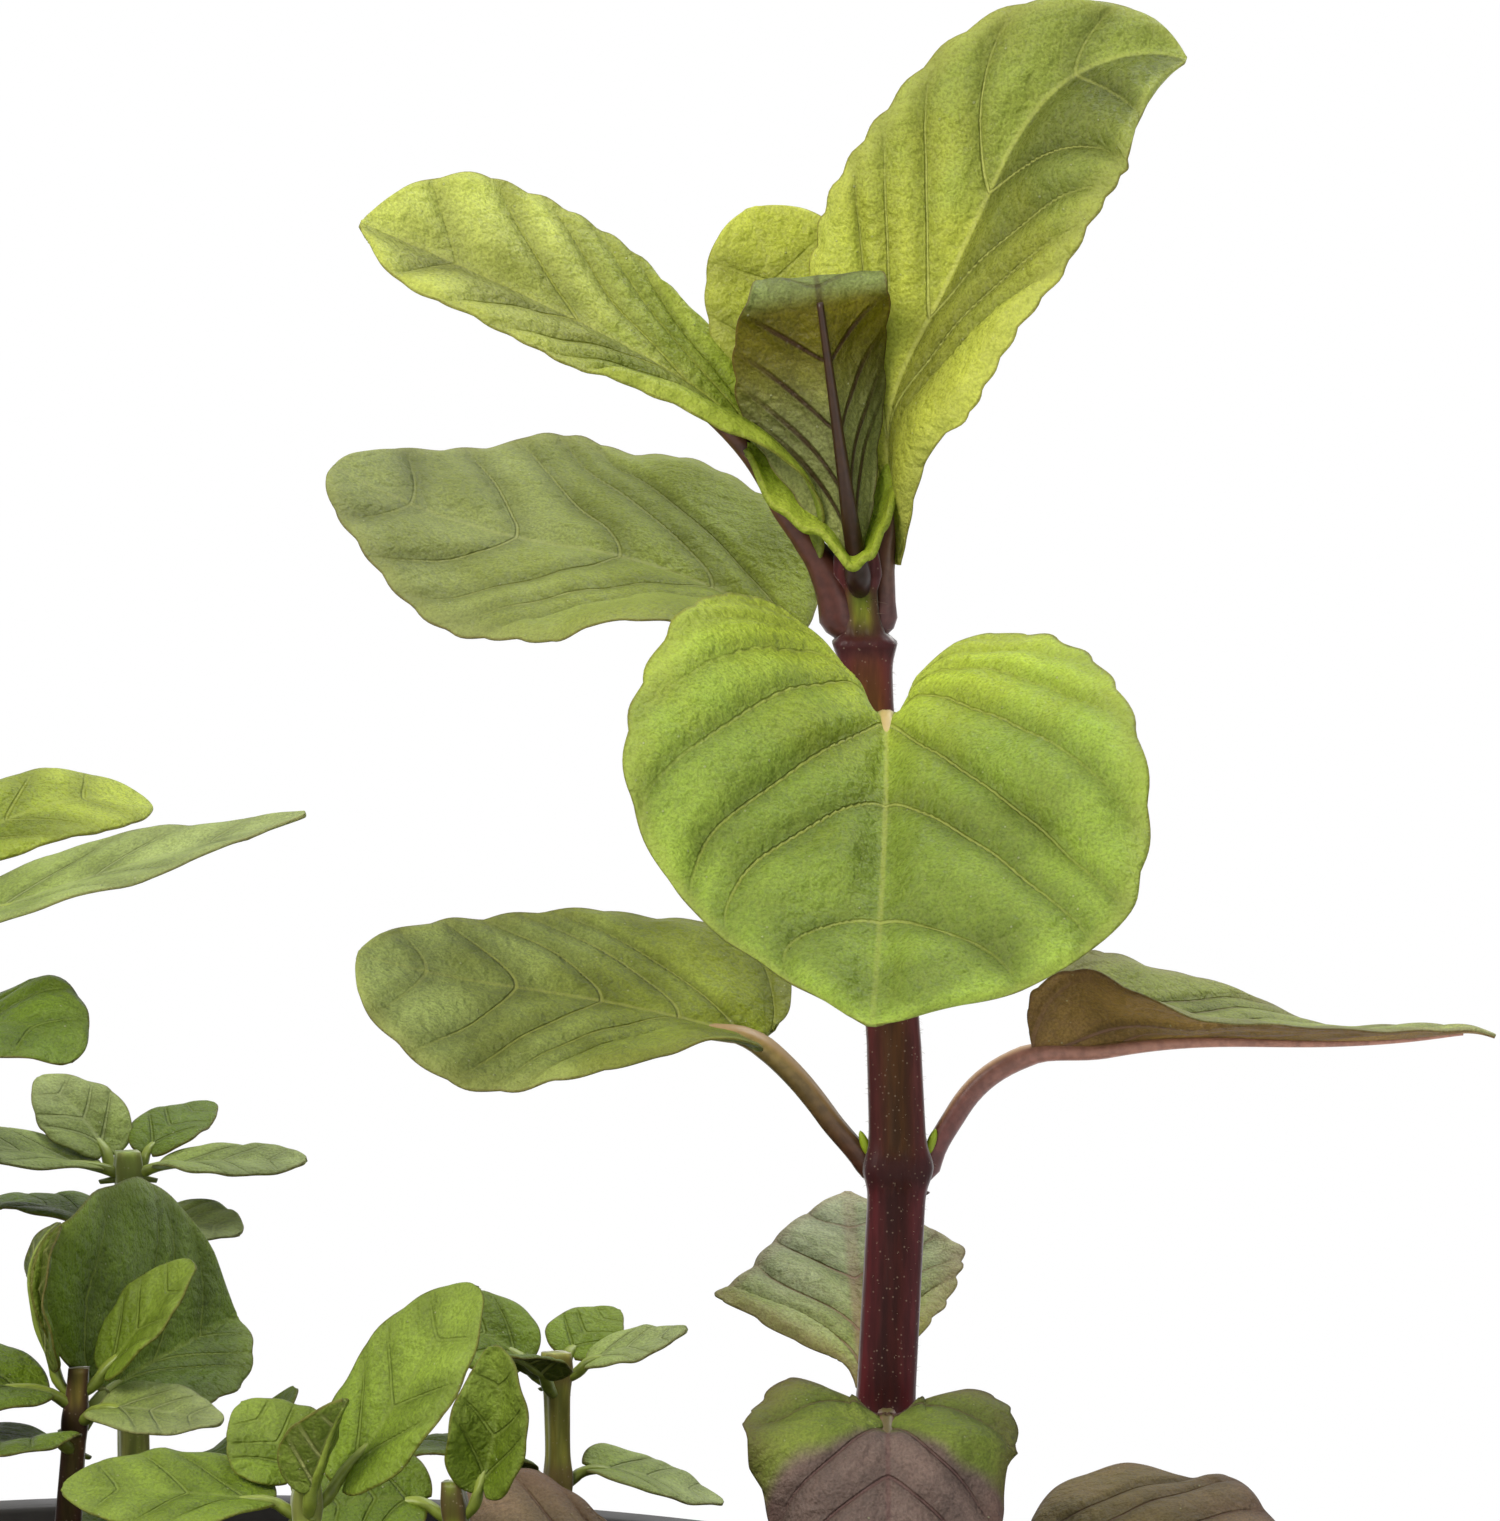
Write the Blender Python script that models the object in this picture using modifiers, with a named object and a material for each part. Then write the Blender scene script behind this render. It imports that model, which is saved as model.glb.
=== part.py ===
"""A pot of water mint (Mentha aquatica): nursery pot, soil, stems and leaves.

All tables are in millimetres and degrees. +X is to the right of the plant's front, +Y is its back and +Z
is up. The origin is the middle of the pot's flat underside, where the pot stands.
"""

import math
from dataclasses import dataclass

import bmesh
import bpy
import numpy as np

MM = 0.001
CLEARANCE = 0.3

POT_HEIGHT = 100.0
POT_RIM_RADIUS = 65.0
POT_SHOULDER_RADIUS = 60.5
POT_FOOT_RADIUS = 46.0
POT_WALL = 2.2
POT_RIM_BAND = 14.0
POT_EDGE = 1.0
POT_SEGMENTS = 40
DRAIN_HOLES = 6
DRAIN_HOLE_RADIUS = 4.0
DRAIN_CIRCLE_RADIUS = 35.0

SOIL_EDGE_HEIGHT = 91.0
SOIL_CROWN = 11.0
SOIL_SEGMENTS = 28
SOIL_RINGS = 8
SOCKET_FIT = 0.72
SOCKET_LENGTH = 40.0
HOLE_SEGMENTS = 12

STEM_SQUARENESS = 5.0
STEM_SIDES = 8
NODE_SWELLING = 0.22
NODE_REACH = 1.2

BLADE_THICKNESS = 0.6
PETIOLE_BEND = 1.5
TIP_WIDTH = 0.6
MIDRIB_CHANNEL = 0.8
PETIOLE_ROWS = 2
BLADE_ROWS = 7
BLADE_COLUMNS = 4


@dataclass
class Stem:
    """A square stem. Each station of its path is (x, y, z, thickness). nodes are its leaf pairs' heights."""

    name: str
    path: tuple
    nodes: tuple
    turn: float = 0.0
    colour: str = "5a3a30"

    def axis(self, height):
        """The middle of the stem at a height, going straight from one station to the next."""
        stations = np.array(self.path)
        x, y = (np.interp(height, stations[:, 2], stations[:, k]) for k in (0, 1))
        return np.array([x, y, height])

    def thickness(self, height):
        """The stem's thickness, which swells by a bell curve round each leaf node."""
        stations = np.array(self.path)
        swelling = sum(math.exp(-(((height - node) / NODE_REACH) ** 2)) for node in self.nodes)
        return np.interp(height, stations[:, 2], stations[:, 3]) * (1 + NODE_SWELLING * swelling)

    def reach(self, height, bearing):
        """From the axis to the surface, in a compass direction: a superellipse, which is a rounded square."""
        angle = math.radians(bearing - self.turn)
        power = STEM_SQUARENESS
        ellipse = (abs(math.cos(angle)) ** power + abs(math.sin(angle)) ** power) ** (1 / power)
        return self.thickness(height) / 2 / ellipse


@dataclass
class Leaf:
    """One leaf, whose left and right are those of someone looking from the stem to its tip.

    azimuth is the midrib's compass bearing at the stem, the blade's base and its tip. rise is its slope at
    the stem, the petiole's end, the blade's base, its middle and its tip. turning says where the middle
    is, as a share of the length. lean then tips the whole leaf over to the right of the plant. roll turns
    the blade about its midrib at base, middle and tip, and lifts its left side.

    left and right hold, for each half, its fold at base and tip, and how far it curls on to its margin
    there. shape holds how far the widest place moves towards the base, the depth of the heart lobes, and
    how narrow the tip and the base are. skew moves the widest place of the left half towards the base, and
    that of the right half away from it. halves scales the width of each half. stalk is the petiole's
    thickness.
    """

    name: str
    stem: str
    height: float
    petiole: float
    length: float
    width: float
    azimuth: tuple
    rise: tuple
    roll: tuple = (0, 0, 0)
    left: tuple = (15, 5, -10, -10)
    right: tuple = (15, 5, -10, -10)
    shape: tuple = (0.25, 0.0, 0.5, 0.0)
    halves: tuple = (1.0, 1.0)
    turning: float = 0.5
    skew: float = 0.0
    lean: float = 0.0
    stalk: float = 1.4
    colour: str = "849540"


STEMS = [
    Stem(
        "main_stem",
        (
            (47.4, 0, 88, 4.1),
            (47.8, 0, 119, 4.0),
            (48.6, 0, 135, 3.9),
            (48.3, 0, 143, 3.7),
            (46.6, 0, 166, 3.1),
            (46.3, 0, 169.6, 3.0),
            (46.2, 0, 170.8, 1.9),
            (46.1, 0, 171.8, 1.4),
            (46.0, 0, 175.5, 1.4),
        ),
        (105, 117, 134.7, 152.5, 170.2),
        colour="4c2a26",
    ),
    Stem(
        "left_tall_stem",
        ((-20, 5, 88, 3.9), (-21.5, 5, 130, 3.4), (-21, 4, 150, 2.7), (-20.5, 4, 163, 1.9)),
        (113, 139, 147, 153),
        turn=20,
        colour="5c4030",
    ),
    Stem(
        "back_rosette_stem",
        ((-5.3, 38.4, 88, 2.4), (-5.5, 39, 113, 2.1), (-5.8, 40, 129.7, 1.6)),
        (123, 128.4),
        turn=15,
        colour="6d7a34",
    ),
    Stem(
        "young_round_stem",
        ((-8, 1, 88, 2.0), (-7.4, 0.5, 108, 1.9), (-6.4, 0, 121, 1.4)),
        (108, 117.5),
        colour="3f2c1c",
    ),
    Stem(
        "bright_front_stem",
        ((9.6, -27.1, 90, 2.2), (9.9, -27.5, 108, 2.0), (10.3, -28, 118.5, 1.6)),
        (108, 117),
        turn=10,
        colour="7d8a40",
    ),
    Stem(
        "small_back_stem",
        ((25.4, 34, 88, 1.6), (25, 35, 108, 1.5), (24.9, 35, 116, 1.7)),
        (107, 114.8),
        turn=25,
        colour="7d7c33",
    ),
    Stem(
        "curled_dark_stem",
        ((20, -5, 90, 1.8), (19.4, -4.6, 108, 1.7), (18.8, -4, 114, 1.3)),
        (106, 112.5),
        turn=-15,
        colour="55521f",
    ),
]

LEAVES = [
    # the main shoot, from its tip down
    Leaf(
        "top_front_leaf", "main_stem", 174.8, 1.0, 22, 14.3,
        azimuth=(-90, -90, -90), rise=(75, 84, 86, 88, 190), turning=0.6, lean=-8,
        left=(20, 20, 15, 20), right=(14, 20, 10, 20), shape=(-0.4, 0.0, 0.25, 0.8), halves=(0.5, 1.0),
        colour="54511a",
    ),
    Leaf(
        "top_back_leaf", "main_stem", 174.8, 1.0, 24, 10,
        azimuth=(90, 90, 90), rise=(85, 85, 85, 84, 60), lean=-14, left=(8, 6, 0, -10),
        right=(8, 6, 0, -10), shape=(-0.5, 0.0, 0.05, 0.8), colour="9cab48", halves=(0.85, 0.9),
    ),
    Leaf(
        "upper_right_leaf", "main_stem", 171.6, 3.5, 42, 23.5,
        azimuth=(0, 0, 0), rise=(86, 86, 84, 64, -10), roll=(20, 45, 20), turning=0.66,
        left=(2, 14, 0, 0), right=(20, 14, 0, 0), shape=(-0.45, 0.0, 0.35, 0.5), skew=-0.25,
        halves=(1.0, 0.75), stalk=1.3, colour="a4aa43",
    ),
    Leaf(
        "upper_left_leaf", "main_stem", 171.6, 3.5, 38.5, 21.5,
        azimuth=(180, 180, 180), rise=(84, 74, 68, 25, 20), roll=(-14, -18, -26), left=(20, 16, 0, 0),
        right=(0, 18, 0, 0), shape=(-0.4, 0.0, 0.0, 0.5), skew=0.42, stalk=1.3, colour="8a993b",
    ),
    Leaf(
        "heart_leaf", "main_stem", 152.5, 16, 30, 35,
        azimuth=(-90, -90, -95), rise=(64, 58, -25, -38, -42), left=(30, 5, 0, -10),
        right=(30, 5, 0, -10), shape=(0.15, 0.55, 0.0, 0.0), colour="7d8c3b",
    ),
    Leaf(
        "back_left_leaf", "main_stem", 152.5, 18.5, 36, 27,
        azimuth=(90, 165, 165), rise=(66, 60, 32, 8, 30), roll=(-27, -27, -27), left=(35, -8, 0, 0),
        right=(8, -5, 0, 0), shape=(0.1, 0.1, 0.3, 0.0), skew=0.2, colour="818a4a",
    ),
    Leaf(
        "middle_left_leaf", "main_stem", 134.7, 10.5, 27.3, 22,
        azimuth=(180, 180, 180), rise=(62, 46, 30, 2, 12), roll=(-24, -24, -24), left=(35, -15, 0, 0),
        right=(5, 0, 0, 0), shape=(0.1, 0.1, 0.2, 0.0), skew=-0.2, colour="808e3c",
    ),
    Leaf(
        "middle_right_leaf", "main_stem", 134.7, 10, 31, 20,
        azimuth=(0, 0, 0), rise=(85, 30, 14, -4, 4), left=(46, -5, 0, 0), right=(52, -5, 0, 0),
        shape=(0.4, 0.1, 0.55, 0.0), colour="6f6a38",
    ),
    Leaf(
        "lower_back_leaf", "main_stem", 116, 6, 21, 20,
        azimuth=(105, 95, 90), rise=(60, 40, 30, 24, 20), lean=2, left=(10, 5, 0, -10),
        right=(25, 15, 0, 0), shape=(0.4, 0.05, 0.4, 0.0), halves=(0.95, 0.72), colour="788038",
    ),
    Leaf(
        "lower_front_leaf", "main_stem", 117, 4, 24, 18,
        azimuth=(-90, -90, -90), rise=(60, 20, -30, -55, -75), left=(12, -10, 0, -60),
        right=(12, -10, 0, -60), shape=(0.3, 0.55, 0.4, 0.0), colour="5f5638",
    ),
    Leaf(
        "bottom_right_leaf", "main_stem", 105, 8, 19.5, 20,
        azimuth=(0, -20, -20), rise=(50, 25, 12, -5, -40), roll=(20, 20, 20), left=(5, 5, -20, -20),
        right=(5, 5, -20, -20), shape=(0.3, 0.1, 0.4, 0.0), colour="685b4a",
    ),
    Leaf(
        "bottom_left_leaf", "main_stem", 105, 7, 22, 15,
        azimuth=(180, 170, 170), rise=(25, 10, 5, 20, -60), roll=(-30, -30, -30),
        left=(5, 5, -20, -20), right=(5, 5, -20, -20), shape=(0.3, 0.1, 0.4, 0.0), colour="6f6240",
    ),
    # the tall shoot at the left
    Leaf(
        "left_shoot_long_leaf", "left_tall_stem", 147, 7, 23, 9.5,
        azimuth=(-5, -5, -5), rise=(50, 30, 20, 16, 18), roll=(15, 15, 15), left=(8, 8, 0, 0),
        right=(8, 8, 0, 0), shape=(0.45, 0.0, 0.4, 0.0), colour="9fad70",
    ),
    Leaf(
        "left_shoot_far_leaf", "left_tall_stem", 147, 8, 28, 18,
        azimuth=(175, 175, 175), rise=(50, 30, 20, 10, -10), roll=(-15, -15, -10), colour="90a055",
    ),
    Leaf(
        "left_shoot_yellow_leaf", "left_tall_stem", 152, 4, 18, 8,
        azimuth=(38, 38, 38), rise=(40, 30, 28, 10, -10), roll=(25, 25, 20), shape=(-0.3, 0.0, 0.1, 0.0),
        colour="bbc166",
    ),
    Leaf(
        "left_shoot_upper_far_leaf", "left_tall_stem", 153, 6, 24, 15,
        azimuth=(210, 210, 210), rise=(55, 40, 30, 15, 0), colour="a4b058",
    ),
    Leaf(
        "left_shoot_dark_leaf", "left_tall_stem", 139, 5, 14, 12,
        azimuth=(-40, -40, -40), rise=(50, 35, 30, 10, -45), roll=(20, 20, 20), colour="777a23",
    ),
    Leaf(
        "left_shoot_back_leaf", "left_tall_stem", 139, 7, 26, 18,
        azimuth=(110, 110, 110), rise=(50, 30, 20, 0, -20), colour="7f8c3a",
    ),
    Leaf(
        "left_shoot_top_leaf_1", "left_tall_stem", 162, 1, 15, 9,
        azimuth=(120, 120, 120), rise=(60, 60, 60, 50, 30), left=(25, 15, 0, 0), right=(25, 15, 0, 0),
        colour="a9b750",
    ),
    Leaf(
        "left_shoot_top_leaf_2", "left_tall_stem", 162, 1, 15, 9,
        azimuth=(-60, -60, -60), rise=(65, 65, 65, 55, 40), left=(25, 15, 0, 0), right=(25, 15, 0, 0),
        colour="a9b750",
    ),
    # the rosette at the back
    Leaf(
        "rosette_left_leaf", "back_rosette_stem", 128.4, 1.5, 14, 7,
        azimuth=(190, 190, 190), rise=(22, 14, 13, 13, 10), roll=(-3, -15, -15), colour="92a055",
    ),
    Leaf(
        "rosette_right_leaf", "back_rosette_stem", 128.4, 2, 9.5, 6.5,
        azimuth=(-12, -12, -12), rise=(25, 14, 5, 0, 5), roll=(0, 12, 15), colour="9da777",
    ),
    Leaf(
        "rosette_upper_left_leaf", "back_rosette_stem", 128.9, 0.8, 8, 5.5,
        azimuth=(140, 140, 138), rise=(75, 65, 50, 32, 25), roll=(-10, -30, -20), colour="97a758",
    ),
    Leaf(
        "rosette_upper_right_leaf", "back_rosette_stem", 129.0, 0.8, 8, 4.5,
        azimuth=(50, 58, 58), rise=(75, 55, 32, 12, 10), roll=(10, 10, 10), colour="6f8428", stalk=1.0,
    ),
    Leaf(
        "rosette_low_right_leaf", "back_rosette_stem", 123, 2, 7, 7,
        azimuth=(-60, -30, -20), rise=(60, 40, 20, 0, -15), roll=(15, 15, 10), colour="97a070",
    ),
    Leaf(
        "rosette_low_left_leaf", "back_rosette_stem", 123, 2, 10, 8,
        azimuth=(140, 165, 165), rise=(60, 40, 20, 0, -15), colour="5c6a20",
    ),
    # the young shoot with the round leaf
    Leaf(
        "round_leaf", "young_round_stem", 117.5, 2, 15.5, 24,
        azimuth=(58, 58, 58), rise=(60, 34, 16, 10, 10), roll=(75, 75, 70), left=(10, 5, 0, 0),
        right=(55, 50, 0, 0), shape=(0.3, 0.15, 0.1, 0.0), halves=(1.0, 0.5), colour="667a30",
    ),
    Leaf(
        "young_small_right_leaf", "young_round_stem", 120.4, 0.8, 9.2, 6,
        azimuth=(-10, -5, 0), rise=(60, 55, 52, 52, 45), roll=(35, 30, 25), left=(20, 10, 0, 0),
        right=(20, 10, 0, 0), shape=(-0.1, 0.0, 0.3, 0.0), colour="667d18",
    ),
    Leaf(
        "young_small_left_leaf", "young_round_stem", 120.6, 0.8, 10, 8,
        azimuth=(170, 185, 200), rise=(85, 82, 80, 85, 150), lean=-5, colour="50571c",
    ),
    Leaf(
        "young_left_leaf", "young_round_stem", 119, 2, 14, 12,
        azimuth=(205, 195, 190), rise=(40, 20, 10, 10, 15), roll=(-10, -25, -20), colour="5c6a20",
    ),
    Leaf(
        "young_low_right_leaf", "young_round_stem", 118, 2, 8, 6.5,
        azimuth=(-45, -30, -15), rise=(45, 15, 0, -5, -5), roll=(15, 15, 15), colour="748749",
    ),
    Leaf(
        "young_low_left_leaf", "young_round_stem", 116, 2, 12, 9,
        azimuth=(240, 230, 225), rise=(40, 15, 5, 0, -10), colour="66783c",
    ),
    Leaf(
        "young_bottom_leaf", "young_round_stem", 108, 3, 17, 9,
        azimuth=(60, 40, 20), rise=(40, 20, 10, 30, 55), colour="4b4a1e",
    ),
    # the bright shoot at the front
    Leaf(
        "bright_tall_leaf", "bright_front_stem", 117.8, 1.5, 14.5, 9,
        azimuth=(0, 5, 5), rise=(60, 58, 54, 57, 50), roll=(35, 35, 35), left=(10, 5, 0, 0),
        right=(10, 5, 0, 0), shape=(0.0, 0.0, 0.3, 0.0), colour="7b922d",
    ),
    Leaf(
        "bright_left_leaf", "bright_front_stem", 116.8, 1.5, 12.5, 9,
        azimuth=(180, 180, 180), rise=(40, 15, 5, 3, 0), roll=(-8, -25, -25), colour="869a4f",
    ),
    Leaf(
        "bright_round_leaf", "bright_front_stem", 118, 1, 6, 6,
        azimuth=(115, 132, 145), rise=(60, 58, 50, 35, 30), roll=(-30, -30, -30), colour="83993f",
    ),
    Leaf(
        "bright_folded_leaf", "bright_front_stem", 117.8, 0.8, 7, 5,
        azimuth=(-80, -60, -40), rise=(75, 70, 65, 60, 55), left=(50, 40, 0, 0), right=(50, 40, 0, 0),
        colour="5f7426",
    ),
    Leaf(
        "bright_low_leaf", "bright_front_stem", 108, 2, 12, 8,
        azimuth=(-90, -70, -50), rise=(50, 30, 15, 0, -20), colour="7b8c3c",
    ),
    # the small shoot at the back
    Leaf(
        "small_back_left_leaf", "small_back_stem", 114.8, 1, 8.5, 7,
        azimuth=(170, 170, 170), rise=(60, 50, 40, 15, -5), roll=(-30, -30, -25), colour="91a14a",
    ),
    Leaf(
        "small_back_right_leaf", "small_back_stem", 115, 1, 7, 5,
        azimuth=(-10, -10, -10), rise=(50, 35, 22, 15, 25), roll=(15, 15, 15), colour="97a362",
    ),
    Leaf(
        "small_back_centre_leaf", "small_back_stem", 115.2, 0.8, 5.2, 4.5,
        azimuth=(70, 50, 40), rise=(50, 45, 35, 25, 20), roll=(20, 20, 20), colour="8a9d40",
    ),
    Leaf(
        "small_back_front_leaf", "small_back_stem", 114.2, 0.8, 6, 5,
        azimuth=(250, 240, 230), rise=(60, 50, 40, 20, 0), colour="5f7430",
    ),
    Leaf(
        "small_back_low_right_leaf", "small_back_stem", 107, 2, 9, 6,
        azimuth=(20, 15, 10), rise=(40, 10, -15, -20, -22), roll=(15, 15, 10), colour="9ba58c",
    ),
    Leaf(
        "small_back_low_left_leaf", "small_back_stem", 107, 2, 11, 7,
        azimuth=(200, 195, 190), rise=(60, 40, 20, 0, -15), colour="6f8038",
    ),
    # the dark shoot with the curled leaf
    Leaf(
        "curled_leaf", "curled_dark_stem", 113, 1, 9.5, 7,
        azimuth=(-20, 0, 0), rise=(80, 75, 75, 80, 110), roll=(60, 60, 60), left=(40, 30, 40, 40),
        right=(20, 20, 20, 20), colour="6d8405",
    ),
    Leaf(
        "curled_left_leaf", "curled_dark_stem", 112, 1.5, 7, 7,
        azimuth=(170, 180, 190), rise=(40, 25, 5, -10, -20), roll=(-45, -45, -45), colour="586023",
    ),
    Leaf(
        "curled_low_right_leaf", "curled_dark_stem", 106, 2, 9, 8,
        azimuth=(-30, -45, -60), rise=(60, 45, 30, 0, -30), colour="5f7434",
    ),
    Leaf(
        "curled_low_left_leaf", "curled_dark_stem", 106, 2, 11, 8,
        azimuth=(210, 200, 190), rise=(60, 40, 20, 0, -20), colour="4f5c24",
    ),
]


def to_linear(hex_colour):
    """A six-digit sRGB colour as four linear values."""
    channels = [int(hex_colour[k : k + 2], 16) / 255 for k in (0, 2, 4)]
    linear = [c / 12.92 if c <= 0.04045 else ((c + 0.055) / 1.055) ** 2.4 for c in channels]
    return (*linear, 1.0)


def make_material(name, hex_colour, roughness):
    material = bpy.data.materials.new(name)
    material.use_nodes = True
    surface = material.node_tree.nodes["Principled BSDF"]
    surface.inputs["Base Color"].default_value = to_linear(hex_colour)
    surface.inputs["Roughness"].default_value = roughness
    surface.inputs["Metallic"].default_value = 0.0
    return material


def add_object(name, mesh, collection, material):
    piece = bpy.data.objects.new(name, mesh)
    collection.objects.link(piece)
    mesh.materials.append(material)
    return piece


def mapped_grid(points, tube=False):
    """A grid laid over an array of points (rows, columns, 3), in millimetres.

    A tube's last column repeats its first, so the two are welded and the open ends are filled.
    """
    rows, columns = points.shape[:2]
    grid = bmesh.new()
    bmesh.ops.create_grid(grid, x_segments=columns - 1, y_segments=rows - 1, size=1.0)
    for vertex in grid.verts:
        column = round((vertex.co.x + 1) / 2 * (columns - 1))
        row = round((vertex.co.y + 1) / 2 * (rows - 1))
        vertex.co = points[row, column] * MM
    if tube:
        bmesh.ops.remove_doubles(grid, verts=grid.verts, dist=1e-6)
        bmesh.ops.holes_fill(grid, edges=[edge for edge in grid.edges if edge.is_boundary])
        bmesh.ops.recalc_face_normals(grid, faces=grid.faces)
    return grid


def finished_mesh(name, grid):
    mesh = bpy.data.meshes.new(name)
    grid.to_mesh(mesh)
    grid.free()
    mesh.shade_smooth()
    return mesh


def turned_mesh(name, profile, segments, collection, material):
    """Turns a profile of (radius, height) round the Z axis with a Screw modifier."""
    mesh = bpy.data.meshes.new(name)
    points = [(radius * MM, 0.0, height * MM) for radius, height in profile]
    mesh.from_pydata(points, [(k, k + 1) for k in range(len(points) - 1)], [])
    piece = add_object(name, mesh, collection, material)
    screw = piece.modifiers.new("turn", "SCREW")
    screw.steps = screw.render_steps = segments
    screw.use_merge_vertices = True
    screw.merge_threshold = 0.00005
    return piece


def pot_inner_radius(height):
    """The pot's inner wall, straight from its floor to the shoulder and then wider inside the rim band."""
    slope = (POT_SHOULDER_RADIUS - POT_FOOT_RADIUS) / (POT_HEIGHT - POT_RIM_BAND)
    return POT_FOOT_RADIUS + slope * height - POT_WALL


def make_pot(collection, cutters):
    """A thin tapered pot whose top is a wider band with a rounded edge, and whose floor has drain holes."""
    shoulder = POT_HEIGHT - POT_RIM_BAND
    profile = [
        (0, POT_WALL),
        (pot_inner_radius(POT_WALL), POT_WALL),
        (pot_inner_radius(shoulder), shoulder),
        (POT_RIM_RADIUS - POT_WALL, shoulder + POT_WALL),
        (POT_RIM_RADIUS - POT_WALL, POT_HEIGHT - POT_EDGE / 2),
        (POT_RIM_RADIUS - POT_WALL + POT_EDGE / 2, POT_HEIGHT),
        (POT_RIM_RADIUS + POT_EDGE / 2, POT_HEIGHT),
        (POT_RIM_RADIUS + POT_EDGE, POT_HEIGHT - POT_EDGE / 2),
        (POT_RIM_RADIUS + POT_EDGE, POT_HEIGHT - 2 * POT_EDGE),
        (POT_RIM_RADIUS, POT_HEIGHT - 3 * POT_EDGE),
        (POT_RIM_RADIUS - POT_EDGE, shoulder),
        (POT_SHOULDER_RADIUS, shoulder - POT_EDGE),
        (POT_FOOT_RADIUS + POT_EDGE / 4, POT_EDGE),
        (POT_FOOT_RADIUS - POT_EDGE, 0),
        (0, 0),
    ]
    material = make_material("pot_plastic", "2b2a29", 0.55)
    pot = turned_mesh("nursery_pot", profile, POT_SEGMENTS, collection, material)

    drill = bmesh.new()
    for k in range(DRAIN_HOLES):
        angle = 2 * math.pi * (k + 0.5) / DRAIN_HOLES
        hole = bmesh.ops.create_cone(
            drill,
            cap_ends=True,
            segments=HOLE_SEGMENTS,
            radius1=DRAIN_HOLE_RADIUS * MM,
            radius2=DRAIN_HOLE_RADIUS * MM,
            depth=4 * POT_WALL * MM,
        )
        place = (DRAIN_CIRCLE_RADIUS * math.cos(angle) * MM, DRAIN_CIRCLE_RADIUS * math.sin(angle) * MM, 0)
        bmesh.ops.translate(drill, verts=hole["verts"], vec=place)
    cut(pot, "drain_hole_drill", drill, cutters)


def cut(piece, name, tool, cutters):
    """Takes a tool's shape out of a piece with an exact Boolean."""
    mesh = bpy.data.meshes.new(name)
    tool.to_mesh(mesh)
    tool.free()
    cutter = bpy.data.objects.new(name, mesh)
    cutters.objects.link(cutter)
    cutter.hide_render = True
    cutter.display_type = "WIRE"
    boolean = piece.modifiers.new(name, "BOOLEAN")
    boolean.operation = "DIFFERENCE"
    boolean.object = cutter


def soil_height(radius):
    """The soil's top: a crown that falls off as a parabola to its edge, below the pot's rim."""
    edge = POT_RIM_RADIUS - POT_WALL - CLEARANCE
    return SOIL_EDGE_HEIGHT + SOIL_CROWN * (1 - (radius / edge) ** 2)


def make_soil(collection, cutters):
    """The soil fills the pot, a clearance away from its wall, with a bored socket round each stem's foot."""
    shoulder = POT_HEIGHT - POT_RIM_BAND
    floor = POT_WALL + CLEARANCE
    edge = POT_RIM_RADIUS - POT_WALL - CLEARANCE
    crown = [(radius, soil_height(radius)) for radius in np.linspace(0, edge, SOIL_RINGS)]
    profile = crown + [
        (edge, shoulder + POT_WALL + CLEARANCE),
        (pot_inner_radius(shoulder) - CLEARANCE, shoulder + CLEARANCE),
        (pot_inner_radius(floor) - CLEARANCE, floor),
        (0, floor),
    ]
    material = make_material("potting_soil", "2e2318", 0.95)
    soil = turned_mesh("soil", profile, SOIL_SEGMENTS, collection, material)

    bore = bmesh.new()
    for stem in STEMS:
        x, y, foot, thickness = stem.path[0]
        radius = thickness * SOCKET_FIT + CLEARANCE
        socket = bmesh.ops.create_cone(
            bore,
            cap_ends=True,
            segments=HOLE_SEGMENTS,
            radius1=radius * MM,
            radius2=radius * MM,
            depth=SOCKET_LENGTH * MM,
        )
        place = (x * MM, y * MM, (foot - CLEARANCE + SOCKET_LENGTH / 2) * MM)
        bmesh.ops.translate(bore, verts=socket["verts"], vec=place)
    cut(soil, "root_socket_drill", bore, cutters)


def make_stem(stem, collection):
    """A tube of rounded squares at the stem's stations and round each of its nodes."""
    heights = {station[2] for station in stem.path}
    for node in stem.nodes:
        heights |= {node - NODE_REACH, node, node + NODE_REACH}
    lowest, highest = stem.path[0][2], stem.path[-1][2]
    heights = sorted(height for height in heights if lowest <= height <= highest)
    bearings = np.linspace(0, 360, STEM_SIDES + 1) + 180 / STEM_SIDES
    rings = []
    for height in heights:
        reach = [stem.reach(height, bearing + stem.turn) for bearing in bearings]
        angle = np.radians(bearings + stem.turn)
        offsets = np.stack([reach * np.cos(angle), reach * np.sin(angle), np.zeros(len(angle))], axis=-1)
        rings.append(stem.axis(height) + offsets)
    grid = mapped_grid(np.array(rings), tube=True)
    mesh = finished_mesh(stem.name, grid)
    add_object(stem.name, mesh, collection, make_material(stem.name + "_bark", stem.colour, 0.45))


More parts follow.
